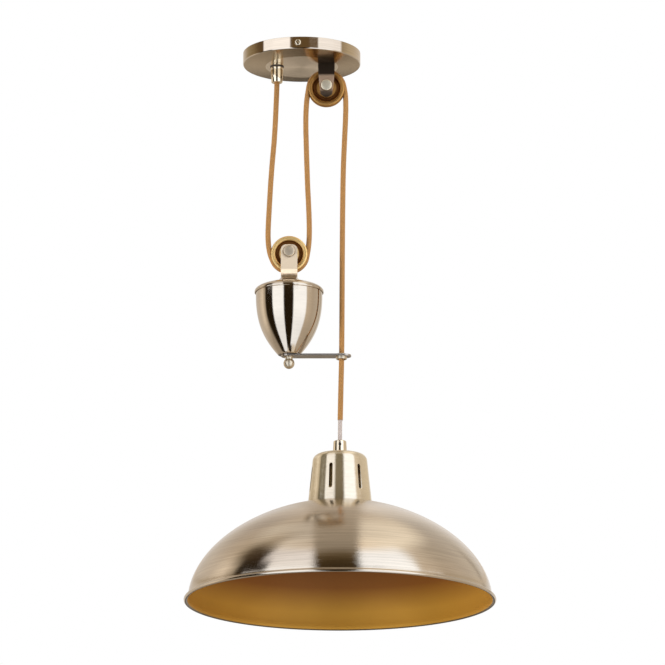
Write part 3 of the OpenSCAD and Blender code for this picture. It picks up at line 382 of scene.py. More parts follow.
def woven(name, light, dark, around, lay, metal=0.0, rough=0.7):
    """A round braid: around strands each way round the cord, one turn of a strand in lay metres.

    The tube's UV map holds the share of a turn in U and metres along the cord in V.
    """
    material, tree, shader = new_material(name, light, Metallic=metal)
    uv = add(tree, "UVMap", uv_map="braid").outputs[0]
    parts = add(tree, "SeparateXYZ", {0: uv}).outputs
    turns = calc(tree, "MULTIPLY", parts[0], around)
    run = calc(tree, "DIVIDE", parts[1], lay / around)
    strands = (calc(tree, "ADD", run, turns), calc(tree, "SUBTRACT", run, turns))
    ridges = [
        calc(tree, "SINE", calc(tree, "MULTIPLY", calc(tree, "FRACT", strand), math.pi))
        for strand in strands
    ]
    counts = [calc(tree, "FLOOR", strand) for strand in strands]
    total = calc(tree, "ADD", *counts)
    left_over = calc(tree, "MULTIPLY", calc(tree, "FRACT", calc(tree, "MULTIPLY", total, 0.5)), 2)
    heights = []
    for own, other in (ridges, ridges[::-1]):
        dip = calc(tree, "MULTIPLY_ADD", other, 0.45, 0.55)
        heights.append(calc(tree, "MULTIPLY", own, dip))
    height = blended(tree, left_over, *heights)
    fuzz = noise(tree, scale=2600.0, detail=3.0)
    # The dips between strands take the dark colour: painted shade on the flex, what lies under the
    # braid on the tail.
    tone = mixed(tree, height, dark, light)
    worn = mixed(tree, spread(tree, fuzz, 0.0, 0.45), tone, darker(light, 0.55))
    feed(tree, shader, worn, spread(tree, fuzz, rough * 0.85, rough * 1.15))
    bump(tree, shader, height, strength=0.6, distance=0.0003)
    return material


# ---------- outlines, in millimetres ----------


def arc(cx, cz, r, start, end, steps):
    """Points on a circle, by angle in degrees."""
    angles = np.radians(np.linspace(start, end, steps + 1))
    return [(cx + r * math.cos(a), cz + r * math.sin(a)) for a in angles]


def bezier(points, steps):
    """A cubic curve with four control points."""
    p = np.array(points, dtype=float)
    curve = []
    for t in np.linspace(0, 1, steps + 1):
        s = 1 - t
        curve.append(tuple(s**3 * p[0] + 3 * s * s * t * p[1] + 3 * s * t * t * p[2] + t**3 * p[3]))
    return curve


def flip(outline):
    """The outline mirrored top to bottom."""
    return [(r, -z) for r, z in outline]


# ---------- meshes ----------

record = frame["record"]
bodies = record["behaviour"]["bodies"]
body_of = {member: body for body, members in bodies.items() for member in members}

# Outline points with a smaller radius in millimetres are on the axis.
ON_AXIS = 1e-6
# Points of a CAD mesh closer than this, in metres, are one, and faces flatter than this join.
WELD = 1e-6
FLAT = math.radians(1)


def new_object(name, data, materials=()):
    """An object in the scene with its materials in order."""
    for material in materials:
        data.materials.append(material)
    made = bpy.data.objects.new(name, data)
    bpy.context.scene.collection.objects.link(made)
    return made


def finish_mesh(bm, mesh, sharp_degrees):
    """Outward normals and smooth shading that breaks at edges sharper than the given angle."""
    bmesh.ops.recalc_face_normals(bm, faces=bm.faces)
    limit = math.radians(sharp_degrees)
    for face in bm.faces:
        face.smooth = True
    for edge in bm.edges:
        edge.smooth = len(edge.link_faces) == 2 and edge.calc_face_angle(0) < limit
    bm.to_mesh(mesh)
    bm.free()


def stand_for(piece, *names):
    """The piece replaces CAD nodes and moves with them."""
    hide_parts(*names)
    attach(piece, body_of[names[0]])
    return piece


def lathe(name, outline, centre, materials, steps, axis="Z", second=(), third=()):
    """Turn an outline of (radius, height) points in millimetres about an axis through centre.

    The outline is closed, or starts and ends on the axis. Its stretches whose numbers are in
    second or third take that material.
    """
    bm = bmesh.new()
    angles = np.linspace(0, 2 * math.pi, steps, endpoint=False)
    rings = []
    for r, z in outline:
        if r < ON_AXIS:
            around = [(0.0, 0.0, z)]
        else:
            around = [(r * math.cos(a), r * math.sin(a), z) for a in angles]
        if axis == "Y":
            around = [(x, -h, y) for x, y, h in around]
        rings.append([bm.verts.new(Vector(p) * MM + Vector(centre)) for p in around])
    for i, ring in enumerate(rings):
        after = rings[(i + 1) % len(rings)]
        if len(ring) == 1 and len(after) == 1:
            continue
        for k in range(steps):
            corners = []
            for vert in (ring[k % len(ring)], ring[(k + 1) % len(ring)],
                         after[(k + 1) % len(after)], after[k % len(after)]):
                if vert not in corners:
                    corners.append(vert)
            bm.faces.new(corners).material_index = 2 if i in third else int(i in second)
    mesh = bpy.data.meshes.new(name)
    finish_mesh(bm, mesh, sharp_degrees=28)
    return new_object(name, mesh, materials)


def apply_modifiers(piece):
    """Puts the result of the piece's modifiers into its mesh."""
    graph = bpy.context.evaluated_depsgraph_get()
    mesh = bpy.data.meshes.new_from_object(piece.evaluated_get(graph))
    piece.modifiers.clear()
    piece.data = mesh


def soften(piece, width, degrees=40):
    """Small round edges on every corner that is sharper than the given angle."""
    bevel = piece.modifiers.new("edges", "BEVEL")
    bevel.width = width * MM
    bevel.segments = 2
    bevel.limit_method = "ANGLE"
    bevel.angle_limit = math.radians(degrees)
    bevel.use_clamp_overlap = True
    apply_modifiers(piece)
    bm = bmesh.new()
    bm.from_mesh(piece.data)
    finish_mesh(bm, piece.data, sharp_degrees=20)
    return piece


def cut(piece, cutters):
    """Cut other closed meshes out of a piece."""
    for cutter in cutters:
        boolean = piece.modifiers.new("cut", "BOOLEAN")
        boolean.object = cutter
        boolean.solver = "EXACT"
    apply_modifiers(piece)
    for cutter in cutters:
        bpy.data.objects.remove(cutter)


def round_off(node, material, width):
    """A copy of a CAD piece, with round edges of the given width, that stands for it."""
    mesh = nodes[node].data.copy()
    mesh.materials.clear()
    bm = bmesh.new()
    bm.from_mesh(mesh)
    bmesh.ops.remove_doubles(bm, verts=bm.verts, dist=WELD)
    bmesh.ops.dissolve_limit(bm, angle_limit=FLAT, verts=bm.verts, edges=bm.edges)
    bm.to_mesh(mesh)
    bm.free()
    return stand_for(soften(new_object(node + "_finished", mesh, [material]), width), node)


# ---------- the ceiling unit ----------

ROSE_R = 67.5
ROSE_H = 14.0
FACE_R = 42.0
FACE_Z = -16.0
ROSE_WALL = 1.2
ROSE_CORNER_R = 1.0
# Where the face ends, one narrow ring each side of its edge.
FACE_EDGE = 0.3

GLAND_X = -28.5
TOP_X = 28.4
TOP_AXLE_Z = -42.3
WEIGHT_X = -14.0
WEIGHT_AXLE_Z = -239.2
LAMP_X = 43.8


def at(x, z=0.0):
    """A place in the plane of the flex, given in millimetres."""
    return Vector((x, 0, z)) * MM


def rose(materials):
    """The ceiling rose. Its materials are for the wall, the flat face and the cone round it: the
    face is painted lighter as painted light, and the cone darker as painted shade.
    """
    corner = ROSE_R - ROSE_CORNER_R
    low = -ROSE_H + ROSE_CORNER_R
    outline = [
        (0, FACE_Z), (FACE_R - FACE_EDGE, FACE_Z), (FACE_R + FACE_EDGE, FACE_Z + 0.02),
        *arc(corner, low, ROSE_CORNER_R, -90, 0, 10), (ROSE_R, low + 0.15), (ROSE_R, -0.3),
        (ROSE_R - 0.3, 0), (ROSE_R - ROSE_WALL, 0), (ROSE_R - ROSE_WALL, -ROSE_H + ROSE_WALL),
        (FACE_R, FACE_Z + ROSE_WALL), (0, FACE_Z + ROSE_WALL),
    ]
    piece = lathe("rose", outline, at(0), materials, steps=320, second=[0], third=[1, 2])
    return stand_for(piece, "canopy")


def gland(material):
    """The cord gland: a ring under the washer, then a cone to the mouth."""
    top, mouth = FACE_Z - 1, -35.0
    stem = FACE_Z + 9
    outline = [
        (3.15, stem), (3.15, mouth + 2), (4.8, mouth + 0.1), (5.0, mouth),
        *arc(5.8, mouth + 0.6, 0.6, -90, 0, 6), (7.3, top - 3.5), (7.2, top - 3.2),
        *arc(7.3, top - 2.55, 0.55, 250, 110, 8), (7.25, top - 1.85), (7.3, top - 1.6),
        (7.3, top - 0.3), (7.0, top), (5, top), (5, stem),
    ]
    piece = lathe("gland", outline, at(GLAND_X), [material], steps=160)
    return stand_for(piece, "gland_body")


def axle_head(name, node, x, z, material):
    """The pin with its flat round head, from its back end to its face."""
    face, half = 18.4, 15.4
    outline = [
        (0, -19.8), (2.6, -19.8), (3, -19.4), (3, half), (6.1, half), (6.35, half + 0.15),
        (6.5, half + 0.5), *arc(5.3, face - 1.5, 1.2, 0, 84, 10), (4.4, face - 0.20),
        (3.0, face - 0.08), (1.5, face - 0.02), (0, face),
    ]
    piece = lathe(name, outline, at(x, z), [material], axis="Y", steps=128)
    return stand_for(piece, node)


def sheave(name, node, x, z, materials):
    """A grooved wheel with a hub, a recess in each side and a rounded rim. Its recesses take the
    second material, painted dark as painted shade.
    """
    half, groove_r, centre_r = 5.0, 3.1, 20.4
    recess_in, rim_in = 10.6, 15.7
    side = [
        (5.1, 5.35), (5.25, 5.5), (7.8, 5.5), (8.0, 5.4), (8.4, 4.4),
        *bezier([(8.5, 4.3), (9.4, 4.15), (recess_in, 4.1), (rim_in - 3.5, 4.0)], 5),
        *arc(rim_in - 2.9, 2.8, 0.5, 180, 250, 4), *arc(rim_in - 1.1, 2.8, 0.5, 290, 350, 4),
        (rim_in - 0.1, 3.2),
        *bezier([(rim_in, 3.7), (rim_in + 0.9, half + 0.1), (19.9, half + 0.4), (20.9, 3.9)], 18),
        (21, groove_r + 0.35), (20.9, groove_r + 0.1),
    ]
    groove = [
        (centre_r - groove_r * math.cos(a), groove_r * math.sin(a))
        for a in np.radians(np.linspace(84, -84, 25))
    ]
    outline = side + groove + flip(side)[::-1]
    recess = [i for i, (r, _) in enumerate(outline) if recess_in <= r < rim_in]
    piece = lathe(name, outline, at(x, z), materials, axis="Y", steps=192, second=recess)
    return stand_for(piece, node)


# ---------- the counterweight ----------

LID_TOP = -265.5
LID_R = 39.4
LIP_Z = -284.5
SHELL_R = 38.0
SHELL_TOP = -283.3
FOOT_Z = -357.2
FOOT_R = 12.5
ARM_BOTTOM = -359.3
ARM_REACH = 59.6
WEIGHT_WALL = 1.2
NECK_R = 9.5
ROD_R = 3.25


def lid(material):
    """The counterweight's lid: a conical neck, a flat shoulder and a turned down edge."""
    waist, waist_z = LID_R * 0.66, LID_TOP - 9.2
    shoulder, shoulder_z = LID_R * 0.86, LID_TOP - 11.6
    edge_z = LID_TOP - 13.6
    flare = bezier([(NECK_R, LID_TOP - 1), (NECK_R + 2.5, LID_TOP - 4.5),
                    (NECK_R + 6, LID_TOP - 7.2), (waist, waist_z)], 24)
    brow = bezier([(waist, waist_z), (shoulder, shoulder_z),
                   (LID_R, edge_z), (LID_R, LIP_Z + 1)], 28)
    inner = LID_R - WEIGHT_WALL
    inside = bezier([(inner, LIP_Z + 1), (inner, edge_z - WEIGHT_WALL),
                     (shoulder - 1, shoulder_z - WEIGHT_WALL),
                     (waist - 1, waist_z - WEIGHT_WALL)], 16)
    under = LID_TOP - 7.4 - WEIGHT_WALL
    outline = [
        (ROD_R, LID_TOP), (NECK_R - 0.4, LID_TOP), (NECK_R - 0.1, LID_TOP - 0.1),
        (NECK_R, LID_TOP - 0.4), *flare, *brow[1:], (LID_R, LIP_Z + 0.25), (LID_R - 0.25, LIP_Z),
        (inner + 0.2, LIP_Z), *inside, (NECK_R, under), (ROD_R, under),
    ]
    piece = lathe("weight_top", outline, at(WEIGHT_X), [material], steps=256)
    return stand_for(piece, "weight_lid")


def shell_side(r, foot_r, top, foot, steps):
    """The counterweight's egg-shaped side, from its top down to its foot."""
    drop = top - foot
    return bezier([(r, top), (r, top - drop * 0.366), (r * 0.907, top - drop * 0.654),
                   (foot_r, foot)], steps)


def shell(material):
    """The hollow body of the counterweight."""
    side = shell_side(SHELL_R, FOOT_R, LIP_Z, FOOT_Z, 72)
    inner = shell_side(SHELL_R - WEIGHT_WALL, FOOT_R - WEIGHT_WALL, LIP_Z, FOOT_Z + WEIGHT_WALL, 40)
    outline = [
        (SHELL_R, SHELL_TOP), *side[:-1], (FOOT_R + 0.05, FOOT_Z + 0.2), (FOOT_R - 0.3, FOOT_Z),
        (ROD_R, FOOT_Z), (ROD_R, FOOT_Z + WEIGHT_WALL), *inner[::-1],
        (SHELL_R - WEIGHT_WALL, SHELL_TOP),
    ]
    piece = lathe("weight_body", outline, at(WEIGHT_X), [material], steps=256)
    return stand_for(piece, "weight_shell")


def finial(material):
    """The ball nut under the arm."""
    ball_r, neck, thread_end = 6.3, 4.0, -366.4
    ball_z = ARM_BOTTOM - 7.8
    top = math.degrees(math.asin(neck / ball_r))
    outline = [
        (3.1, ARM_BOTTOM), (5.4, ARM_BOTTOM), (5.6, ARM_BOTTOM - 0.2), (5.6, ARM_BOTTOM - 0.7),
        (5.4, ARM_BOTTOM - 0.9), (neck + 0.3, ARM_BOTTOM - 1.1),
        *arc(0, ball_z, ball_r, 90 - top, -90, 40), (0, thread_end), (3.1, thread_end),
    ]
    return stand_for(lathe("ball_end", outline, at(WEIGHT_X), [material], steps=128), "finial")


def eyelet(material):
    """The lipped ring in the arm's end that guides the flex."""
    r, bore, low = 6.6, 4.9, ARM_BOTTOM
    outline = [
        (bore, FOOT_Z + 0.4), (bore, low - 2.8), *arc(bore + 0.35, low - 2.75, 0.35, 180, 270, 4),
        *arc(r - 1.1, low - 2.6, 0.5, 270, 360, 5), (r - 0.55, low - 1.9), (r - 0.35, low - 1.5),
        *arc(r - 0.3, low - 0.9, 0.3, -90, 0, 3), (r, low), (r - 0.8, low), (r - 0.8, FOOT_Z),
        (r, FOOT_Z), *arc(r - 0.5, FOOT_Z + 0.5, 0.5, 0, 90, 6),
        *arc(bore + 0.6, FOOT_Z + 0.4, 0.6, 90, 180, 5)[:-1],
    ]
    piece = lathe("cord_eyelet", outline, at(WEIGHT_X + ARM_REACH), [material], steps=128)
    return stand_for(piece, "guide_eyelet")


# ---------- the lamp ----------

# How far up from the rim, in millimetres, the painted shade inside the dome deepens.
PAINT_SHADE_FADE = 80.0
RIM_Z = -640.7
DOME_H = 112.8
DOME_POWER = 1.874
SHADE_R = 175.6
SHADE_IN_R = 171.1
SHADE_WALL = 0.6
RIM_R = 1.9
# The stretch of the bead's outline from which on it faces down.
BEAD_TURNS_UNDER = 14
DOME_FOOT = 4.5
HOLE_R = 20.1
COVER_FOOT_Z = -531.05
COVER_H = 58.0
COVER_TOP = COVER_FOOT_Z + COVER_H
COVER_WALL = 0.8
COVER_FOOT_R = 36.3
COVER_SHOULDER_R = 31.0
GRIP_TOP = -457.35
GRIP_FOOT = -471.1


def dome_side(inset, steps):
    """The dome's outline from its hole down to its foot: an ellipse of a power just below 2."""
    a = SHADE_IN_R - inset
    b = DOME_H - inset
    half_power = DOME_POWER / 2
    start = math.acos((HOLE_R / a) ** half_power)
    end = math.asin((DOME_FOOT / b) ** half_power)
    return [
        (a * math.cos(t) ** (1 / half_power), RIM_Z + b * math.sin(t) ** (1 / half_power))
        for t in np.linspace(start, end, steps + 1)
    ]


def shade(outside, inside, bead_underside_shade):
    """The dome, painted inside, with a bead round its rim whose underside is painted darker as
    painted shade.
    """
    bead_r = SHADE_R - RIM_R
    a = SHADE_IN_R
    lip = bezier([(a - 0.2, RIM_Z + 3.6), (a, RIM_Z + 2.8),
                  (bead_r - 1.6, RIM_Z + 2.2), (bead_r, RIM_Z + RIM_R)], 12)
    outer = dome_side(0, 100)
    bead = arc(bead_r, RIM_Z, RIM_R, 75, -140, 20)
    wall = a - SHADE_WALL
    lip_in = [(wall + 1.0, RIM_Z - 0.9), (wall + 0.3, RIM_Z + 0.4), (wall, RIM_Z + 2.2)]
    inner = dome_side(SHADE_WALL, 76)
    outline = [*outer, *lip, *bead, *lip_in, *inner[::-1]]
    first_under = len(outer) + len(lip) + BEAD_TURNS_UNDER
    first_inside = len(outer) + len(lip) + len(bead)
    piece = lathe("shade_dome", outline, at(LAMP_X), [outside, inside, bead_underside_shade], steps=360,
                  second=range(first_inside, len(outline) - 1),
                  third=range(first_under, first_inside))
    return stand_for(piece, "shade")


def cover_side(inset):
    """The cover's outline, from the nipple's hole outwards and down."""
    hole_r, corner, crown = 5.2, 8.4, 2.0
    crown_r = COVER_SHOULDER_R - corner
    rise = [(x, COVER_TOP + crown * (1 - (x / crown_r) ** 2) - inset)
            for x in np.linspace(hole_r, crown_r, 10)]
    bend = [(crown_r + (corner - inset) * math.sin(a),
             COVER_TOP - corner + (corner - inset) * math.cos(a))
            for a in np.radians(np.linspace(8, 86, 16))]
    return [*rise[:-1], *bend, (COVER_FOOT_R - inset, COVER_FOOT_Z)]


VENT_COUNT = 6
VENT_TURN = -90 - 18.5
VENT_HALF = 12.3
VENT_R = 2.0
VENT_MIDDLE = 27.8
# The vent cutter's rings: how far out of the cover each lies, and how much wider it is.
VENT_RINGS = ((-14.0, 0.0), (-0.65, 0.0), (0.15, 1.3), (8.0, 1.3))


def vent_cutter(turn):
    """A long bar with round ends that stands through the cover's wall and widens outside it."""
    bm = bmesh.new()
    loops = []
    for out, wider in VENT_RINGS:
        r = VENT_R + wider
        outline = [*arc(0, VENT_HALF, r, 0, 180, 16), *arc(0, -VENT_HALF, r, 180, 360, 16)]
        loop = []
        for across, up in outline:
            height = VENT_MIDDLE + up
            along = COVER_FOOT_R - (COVER_FOOT_R - COVER_SHOULDER_R) * height / COVER_H + out
            x = along * math.cos(turn) - across * math.sin(turn)
            y = along * math.sin(turn) + across * math.cos(turn)
            loop.append(bm.verts.new(Vector((LAMP_X + x, y, COVER_FOOT_Z + height)) * MM))
        loops.append(loop)
    bm.faces.new(loops[0])
    bm.faces.new(loops[-1])
    count = len(loops[0])
    for near, far in zip(loops, loops[1:]):
        for k in range(count):
            after = (k + 1) % count
            bm.faces.new((near[k], near[after], far[after], far[k]))
    mesh = bpy.data.meshes.new("vent")
    finish_mesh(bm, mesh, sharp_degrees=30)
    return new_object("vent", mesh)


def cover(material):
    """The thin cover over the lampholder, with its ring of vents."""
    outline = [*cover_side(0), *cover_side(COVER_WALL)[::-1]]
    piece = lathe("lamp_cover", outline, at(LAMP_X), [material], steps=256)
    turns = [math.radians(VENT_TURN + 360 / VENT_COUNT * i) for i in range(VENT_COUNT)]
    cut(piece, [vent_cutter(turn) for turn in turns])
    soften(piece, width=0.12, degrees=35)
    return stand_for(piece, "lampholder_cover")


def grip(material):
    """The cord grip on top of the cover, with a notch across its mouth and a hole for its screw."""
    outline = [
        (2.5, GRIP_FOOT + 6), (2.5, GRIP_TOP - 0.4), (2.9, GRIP_TOP),
        *arc(6.1, GRIP_TOP - 1.2, 1.2, 90, 4, 8), (7.9, GRIP_FOOT + 1.6), (8.0, GRIP_FOOT + 1.2),
        (8.0, GRIP_FOOT + 0.2), (7.8, GRIP_FOOT), (5.1, GRIP_FOOT), (5.1, GRIP_FOOT + 6),
    ]
    piece = lathe("cord_clamp", outline, at(LAMP_X), [material], steps=128)
    notch = lathe("notch", [(0, -0.2), (0.75, -0.2), (0.75, 9), (0, 9)], at(LAMP_X),
                  [], axis="Y", steps=24)
    notch.scale.z = 6
    notch.location.z = GRIP_TOP * MM
    hole = lathe("hole", [(0, 1), (1.6, 1), (1.6, 12), (0, 12)], at(LAMP_X, GRIP_TOP - 5.2),
                 [], axis="Y", steps=40)
    bpy.context.view_layer.update()
    cut(piece, [notch, hole])
    soften(piece, width=0.15, degrees=60)
    return stand_for(piece, "cord_grip")


# ---------- the flex ----------

CORD_SIDES = 28
CORD_R = 3.0
TAIL_R = 2.35
PITCH_R = 20.3
TAIL_TOP = GRIP_TOP + 24.3
TAIL_END = -465.1
LEFT_STRAND = [
    (-28.5, -7.5), (-28.5, -20), (-28.5, -34), (-28.8, -46), (-29.4, -62), (-30.2, -82),
    (-31.6, -106), (-33.6, -130), (-35.4, -156), (-36.8, -182), (-37.9, -204), (-38.2, -218),
    (-37.4, -230), (-35.7, -239),
]
MIDDLE_STRAND = [
    (7.6, -233), (8.6, -223), (8.9, -212), (8.7, -198), (8, -180), (7, -160), (6, -132),
    (5.2, -105), (4.8, -86), (5, -70), (6, -55),
]
DROP_STRAND = [
    (50.2, -50), (50.7, -64), (50.3, -80), (49.2, -104), (47.9, -136), (47.1, -180),
    (46.6, -235), (46.3, -290), (46, -335), (45.7, -362), (44.9, (TAIL_TOP - 362) / 2),
    (44.1, TAIL_TOP),
]
TAIL_STRAND = [(44.1, TAIL_TOP), (43.9, GRIP_TOP + 12), (43.8, GRIP_TOP + 3), (43.8, TAIL_END)]


def smooth_path(points):
    """A smooth curve through the points, with a point about every millimetre."""
    p = np.array(points, dtype=float)
    p = np.vstack([2 * p[0] - p[1], p, 2 * p[-1] - p[-2]])
    path = []
    for i in range(1, len(p) - 2):
        a, b, c, d = p[i - 1 : i + 3]
        knots = np.cumsum([0, *(np.linalg.norm(s) ** 0.5 for s in (b - a, c - b, d - c))])
        steps = max(1, round(np.linalg.norm(c - b)))
        for t in np.linspace(knots[1], knots[2], steps, endpoint=False):
            def between(u, v, start, end):
                return u + (v - u) * (t - knots[start]) / (knots[end] - knots[start])
            first, middle, last = between(a, b, 0, 1), between(b, c, 1, 2), between(c, d, 2, 3)
            left, right = between(first, middle, 0, 2), between(middle, last, 1, 3)
            path.append(between(left, right, 1, 2))
    path.append(p[-2])
    return np.array(path)


def braided(name, route, radius, material):
    """A round cord along points in the XZ plane, with its braid's map in U and V."""
    path = smooth_path(route)
    along = np.gradient(path, axis=0)
    along /= np.linalg.norm(along, axis=1)[:, None]
    run = np.concatenate([[0], np.cumsum(np.linalg.norm(np.diff(path, axis=0), axis=1))]) * MM
    bm = bmesh.new()
    uv = bm.loops.layers.uv.new("braid")
    rings = []
    for (x, z), (dx, dz) in zip(path, along):
        ring = []
        for k in range(CORD_SIDES):
            angle = 2 * math.pi * k / CORD_SIDES
            side, front = radius * math.cos(angle), radius * math.sin(angle)
            ring.append(bm.verts.new(Vector((x + dz * side, front, z - dx * side)) * MM))
        rings.append(ring)
    for i, (near, far) in enumerate(zip(rings, rings[1:])):
        for k in range(CORD_SIDES):
            after = (k + 1) % CORD_SIDES
            face = bm.faces.new((near[k], near[after], far[after], far[k]))
            places = ((k, i), (k + 1, i), (k + 1, i + 1), (k, i + 1))
            for loop, (turn, row) in zip(face.loops, places):
                loop[uv].uv = (turn / CORD_SIDES, run[row])
    bm.faces.new(rings[0])
    bm.faces.new(rings[-1])
    mesh = bpy.data.meshes.new(name)
    finish_mesh(bm, mesh, sharp_degrees=50)
    return new_object(name, mesh, [material])


def make_flex(fabric, tail_braid):
    """The flex from the gland to the cord grip. Its strands stretch between the bodies."""
    under = arc(WEIGHT_X, WEIGHT_AXLE_Z, PITCH_R, 200, 350, 24)
    over = arc(TOP_X, TOP_AXLE_Z, PITCH_R, 170, 10, 24)
    left = braided("flex_left", LEFT_STRAND + under, CORD_R, fabric)
    middle = braided("flex_middle", [under[-1], *MIDDLE_STRAND, over[0]], CORD_R, fabric)
    top = braided("flex_over_sheave", over, CORD_R, fabric)
    drop = braided("flex_drop", [over[-1], *DROP_STRAND], CORD_R, fabric)
    tail = braided("flex_tail", TAIL_STRAND, TAIL_R, tail_braid)
    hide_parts("cord_loop")
    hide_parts("cord_loop")
    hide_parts("cord_drop")
    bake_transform(left)
    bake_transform(middle)
    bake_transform(drop)
    stand_for(top, "cord_over_top")
    stand_for(tail, "cord_tail")


# ---------- light ----------

SOFT_WHITE = (1.50, 1.64, 1.92)
ROSE_WHITE = (1.50, 1.54, 1.70)
GAP_DARK = (0.022, 0.014, 0.006)


def tan(level):
    return (level, level * 0.88, level * 0.75)


def white(level):
    return darker(SOFT_WHITE, level)


# Bands of the studio round the object, by direction in degrees: 0 is towards the viewer and
# 90 to the right. The sets go from below the horizon up. The shoulder's is as the low one with
# a dimmer box on the left, and the rose's is for a narrow belt that its wall reflects.
DOWN_BANDS = [
    (-180, tan(0.38)), (-120, tan(0.50)), (-95, tan(0.45)), (-84, GAP_DARK), (-62, GAP_DARK),
    (-58, white(0.85)), (-20, white(0.85)), (-17, GAP_DARK), (14, GAP_DARK), (17, white(0.9)),
    (60, white(0.85)), (66, tan(0.62)), (110, tan(0.52)), (150, tan(0.55)), (180, tan(0.38)),
]
LOW_BANDS = [
    (-180, (0.88, 0.85, 0.84)), (-160, (0.70, 0.64, 0.58)), (-125, (0.76, 0.69, 0.62)),
    (-106, (1.05, 0.95, 0.84)), (-93, (0.55, 0.48, 0.40)), (-88, GAP_DARK), (-61, GAP_DARK),
    (-58, SOFT_WHITE), (-20, SOFT_WHITE), (-17, GAP_DARK), (14, GAP_DARK), (17, SOFT_WHITE),
    (62, SOFT_WHITE), (66, tan(0.78)), (92, tan(0.62)), (120, (0.66, 0.60, 0.54)),
    (138, (0.74, 0.68, 0.61)), (143, tan(0.40)), (148, (0.74, 0.69, 0.63)),
    (162, (0.80, 0.76, 0.73)), (172, (0.94, 0.90, 0.87)), (180, (0.88, 0.85, 0.84)),
]
SHOULDER_WHITE = (1.15, 1.18, 1.30)
LEFT_BOX = (-58, -20)
SHOULDER_BANDS = [(a, SHOULDER_WHITE if a in LEFT_BOX else tone) for a, tone in LOW_BANDS]
ROSE_BANDS = [
    (-180, tan(0.80)), (-150, tan(0.62)), (-131, (0.42, 0.335, 0.215)), (-110, (0.30, 0.22, 0.12)),
    (-95, (0.17, 0.11, 0.055)), (-82, (0.15, 0.095, 0.045)), (-79, ROSE_WHITE), (-24, ROSE_WHITE),
    (-21, (0.165, 0.105, 0.045)), (31, (0.175, 0.11, 0.05)), (34, darker(ROSE_WHITE, 0.9)),
    (82, darker(ROSE_WHITE, 0.88)), (87, (0.46, 0.37, 0.25)), (105, (0.62, 0.52, 0.37)),
    (150, tan(0.72)), (180, tan(0.80)),
]
MIDDLE_BANDS = [
    (-180, (0.84, 0.78, 0.72)), (-168, (0.76, 0.69, 0.63)), (-158, (0.55, 0.50, 0.46)),
    (-135, (0.66, 0.58, 0.50)), (-115, (0.66, 0.57, 0.47)), (-104, (0.36, 0.30, 0.23)),
    (-97, (0.10, 0.07, 0.04)), (-73, (0.05, 0.03, 0.015)), (-67, (1.05, 1.05, 1.15)),
    (-20, (1.15, 1.18, 1.33)), (0, white(0.85)), (20, white(0.95)), (58, white(0.95)),
    (72, (0.85, 0.77, 0.68)), (95, (0.60, 0.54, 0.47)), (126, (0.62, 0.57, 0.52)),
    (150, (0.66, 0.62, 0.58)), (162, (0.78, 0.74, 0.71)), (172, (1.00, 0.95, 0.92)),
    (180, (0.88, 0.82, 0.77)),
]
HIGH_BANDS = [
    (-180, tan(0.60)), (-150, tan(0.70)), (-134, (0.86, 0.82, 0.76)), (-112, (0.80, 0.72, 0.62)),
    (-96, (0.46, 0.38, 0.29)), (-84, (0.62, 0.55, 0.47)), (-72, (1.0, 0.93, 0.85)),
    (-20, tan(0.80)), (0, tan(0.95)), (20, tan(1.18)), (60, (1.28, 1.20, 1.08)),
    (110, (1.20, 1.14, 1.05)), (150, (0.98, 0.90, 0.80)), (168, tan(0.70)), (180, tan(0.60)),
]
# The dark gap between the two boxes overhead, from the back horizon to the front one, and its
# long edges: where each is at the sides, how much wider at the front, and on which side.
GAP_TONES = [
    (0.0, tan(0.72)), (0.08, tan(0.62)), (0.25, tan(0.55)), (0.50, tan(0.48)), (0.75, tan(0.40)),
    (0.83, (0.16, 0.115, 0.06)), (0.90, (0.085, 0.055, 0.022)), (1.0, GAP_DARK),
]
GAP_EDGES = ((0.195, 0.14, 1), (0.14, 0.10, -1))
GAP_BLUR = 0.012
NADIR = tan(0.20)
ZENITH_LEFT, ZENITH_RIGHT = (0.68, 0.64, 0.60), (1.02, 0.96, 0.88)
# Between which directions, left and right, the zenith and the room go from one tone to the other.
ZENITH_SPREAD, ROOM_SPREAD = (-0.2, 0.2), (-0.9, 0.9)
# What matt surfaces get from the left and the right, and what the camera sees.
ROOM_LEFT, ROOM_RIGHT = (0.48, 0.48, 0.49), (0.98, 0.97, 0.95)
BACKDROP = (1.0, 1.0, 1.0)
# Elevations in degrees over which one set of bands gives way to the next.
DOWN_RISE, LOW_RISE, SHOULDER_RISE = (-90, -72), (-28, -6), (19, 25)
MIDDLE_RISE, HIGH_RISE, ZENITH_RISE = (30, 42), (50, 60), (62, 82)
BELT_START, BELT_END = (15.4, 15.7), (18.6, 18.3)
GAP_RISE = (18.5, 20)
# Behind and below: what the rose's underside shows, by elevation up to the horizon. The first set
# is for a narrow stand straight behind, the second for what is beside it.
STAND_TONES = [
    (-40, (0.03, 0.015, 0.004)), (-19.6, (0.03, 0.015, 0.004)), (-19, (0.88, 0.78, 0.66)),
    (-15, (0.92, 0.81, 0.68)), (-14.4, (0.004, 0.002, 0.001)), (0, (0.004, 0.002, 0.001)),
]
BESIDE_TONES = [
    (-40, tan(0.34)), (-21.5, tan(0.40)), (-19.5, (0.56, 0.50, 0.42)), (-13, (0.60, 0.54, 0.46)),
    (-11.5, tan(0.16)), (0, tan(0.10)),
]
STAND_RISE, STAND_FALL = (-40, -34), (0, -2)
# The stand's half width and middle below the face's reflection and in it, as directions' X.
STAND_LOW, STAND_FACE, STAND_STEP = (0.030, 0.042), (0.016, 0.026), (-20.5, -19)
STAND_LOW_X, STAND_FACE_X = 0.008, -0.005
BESIDE_REACH = (0.16, 0.10)
BEHIND = (0.0, -0.2)


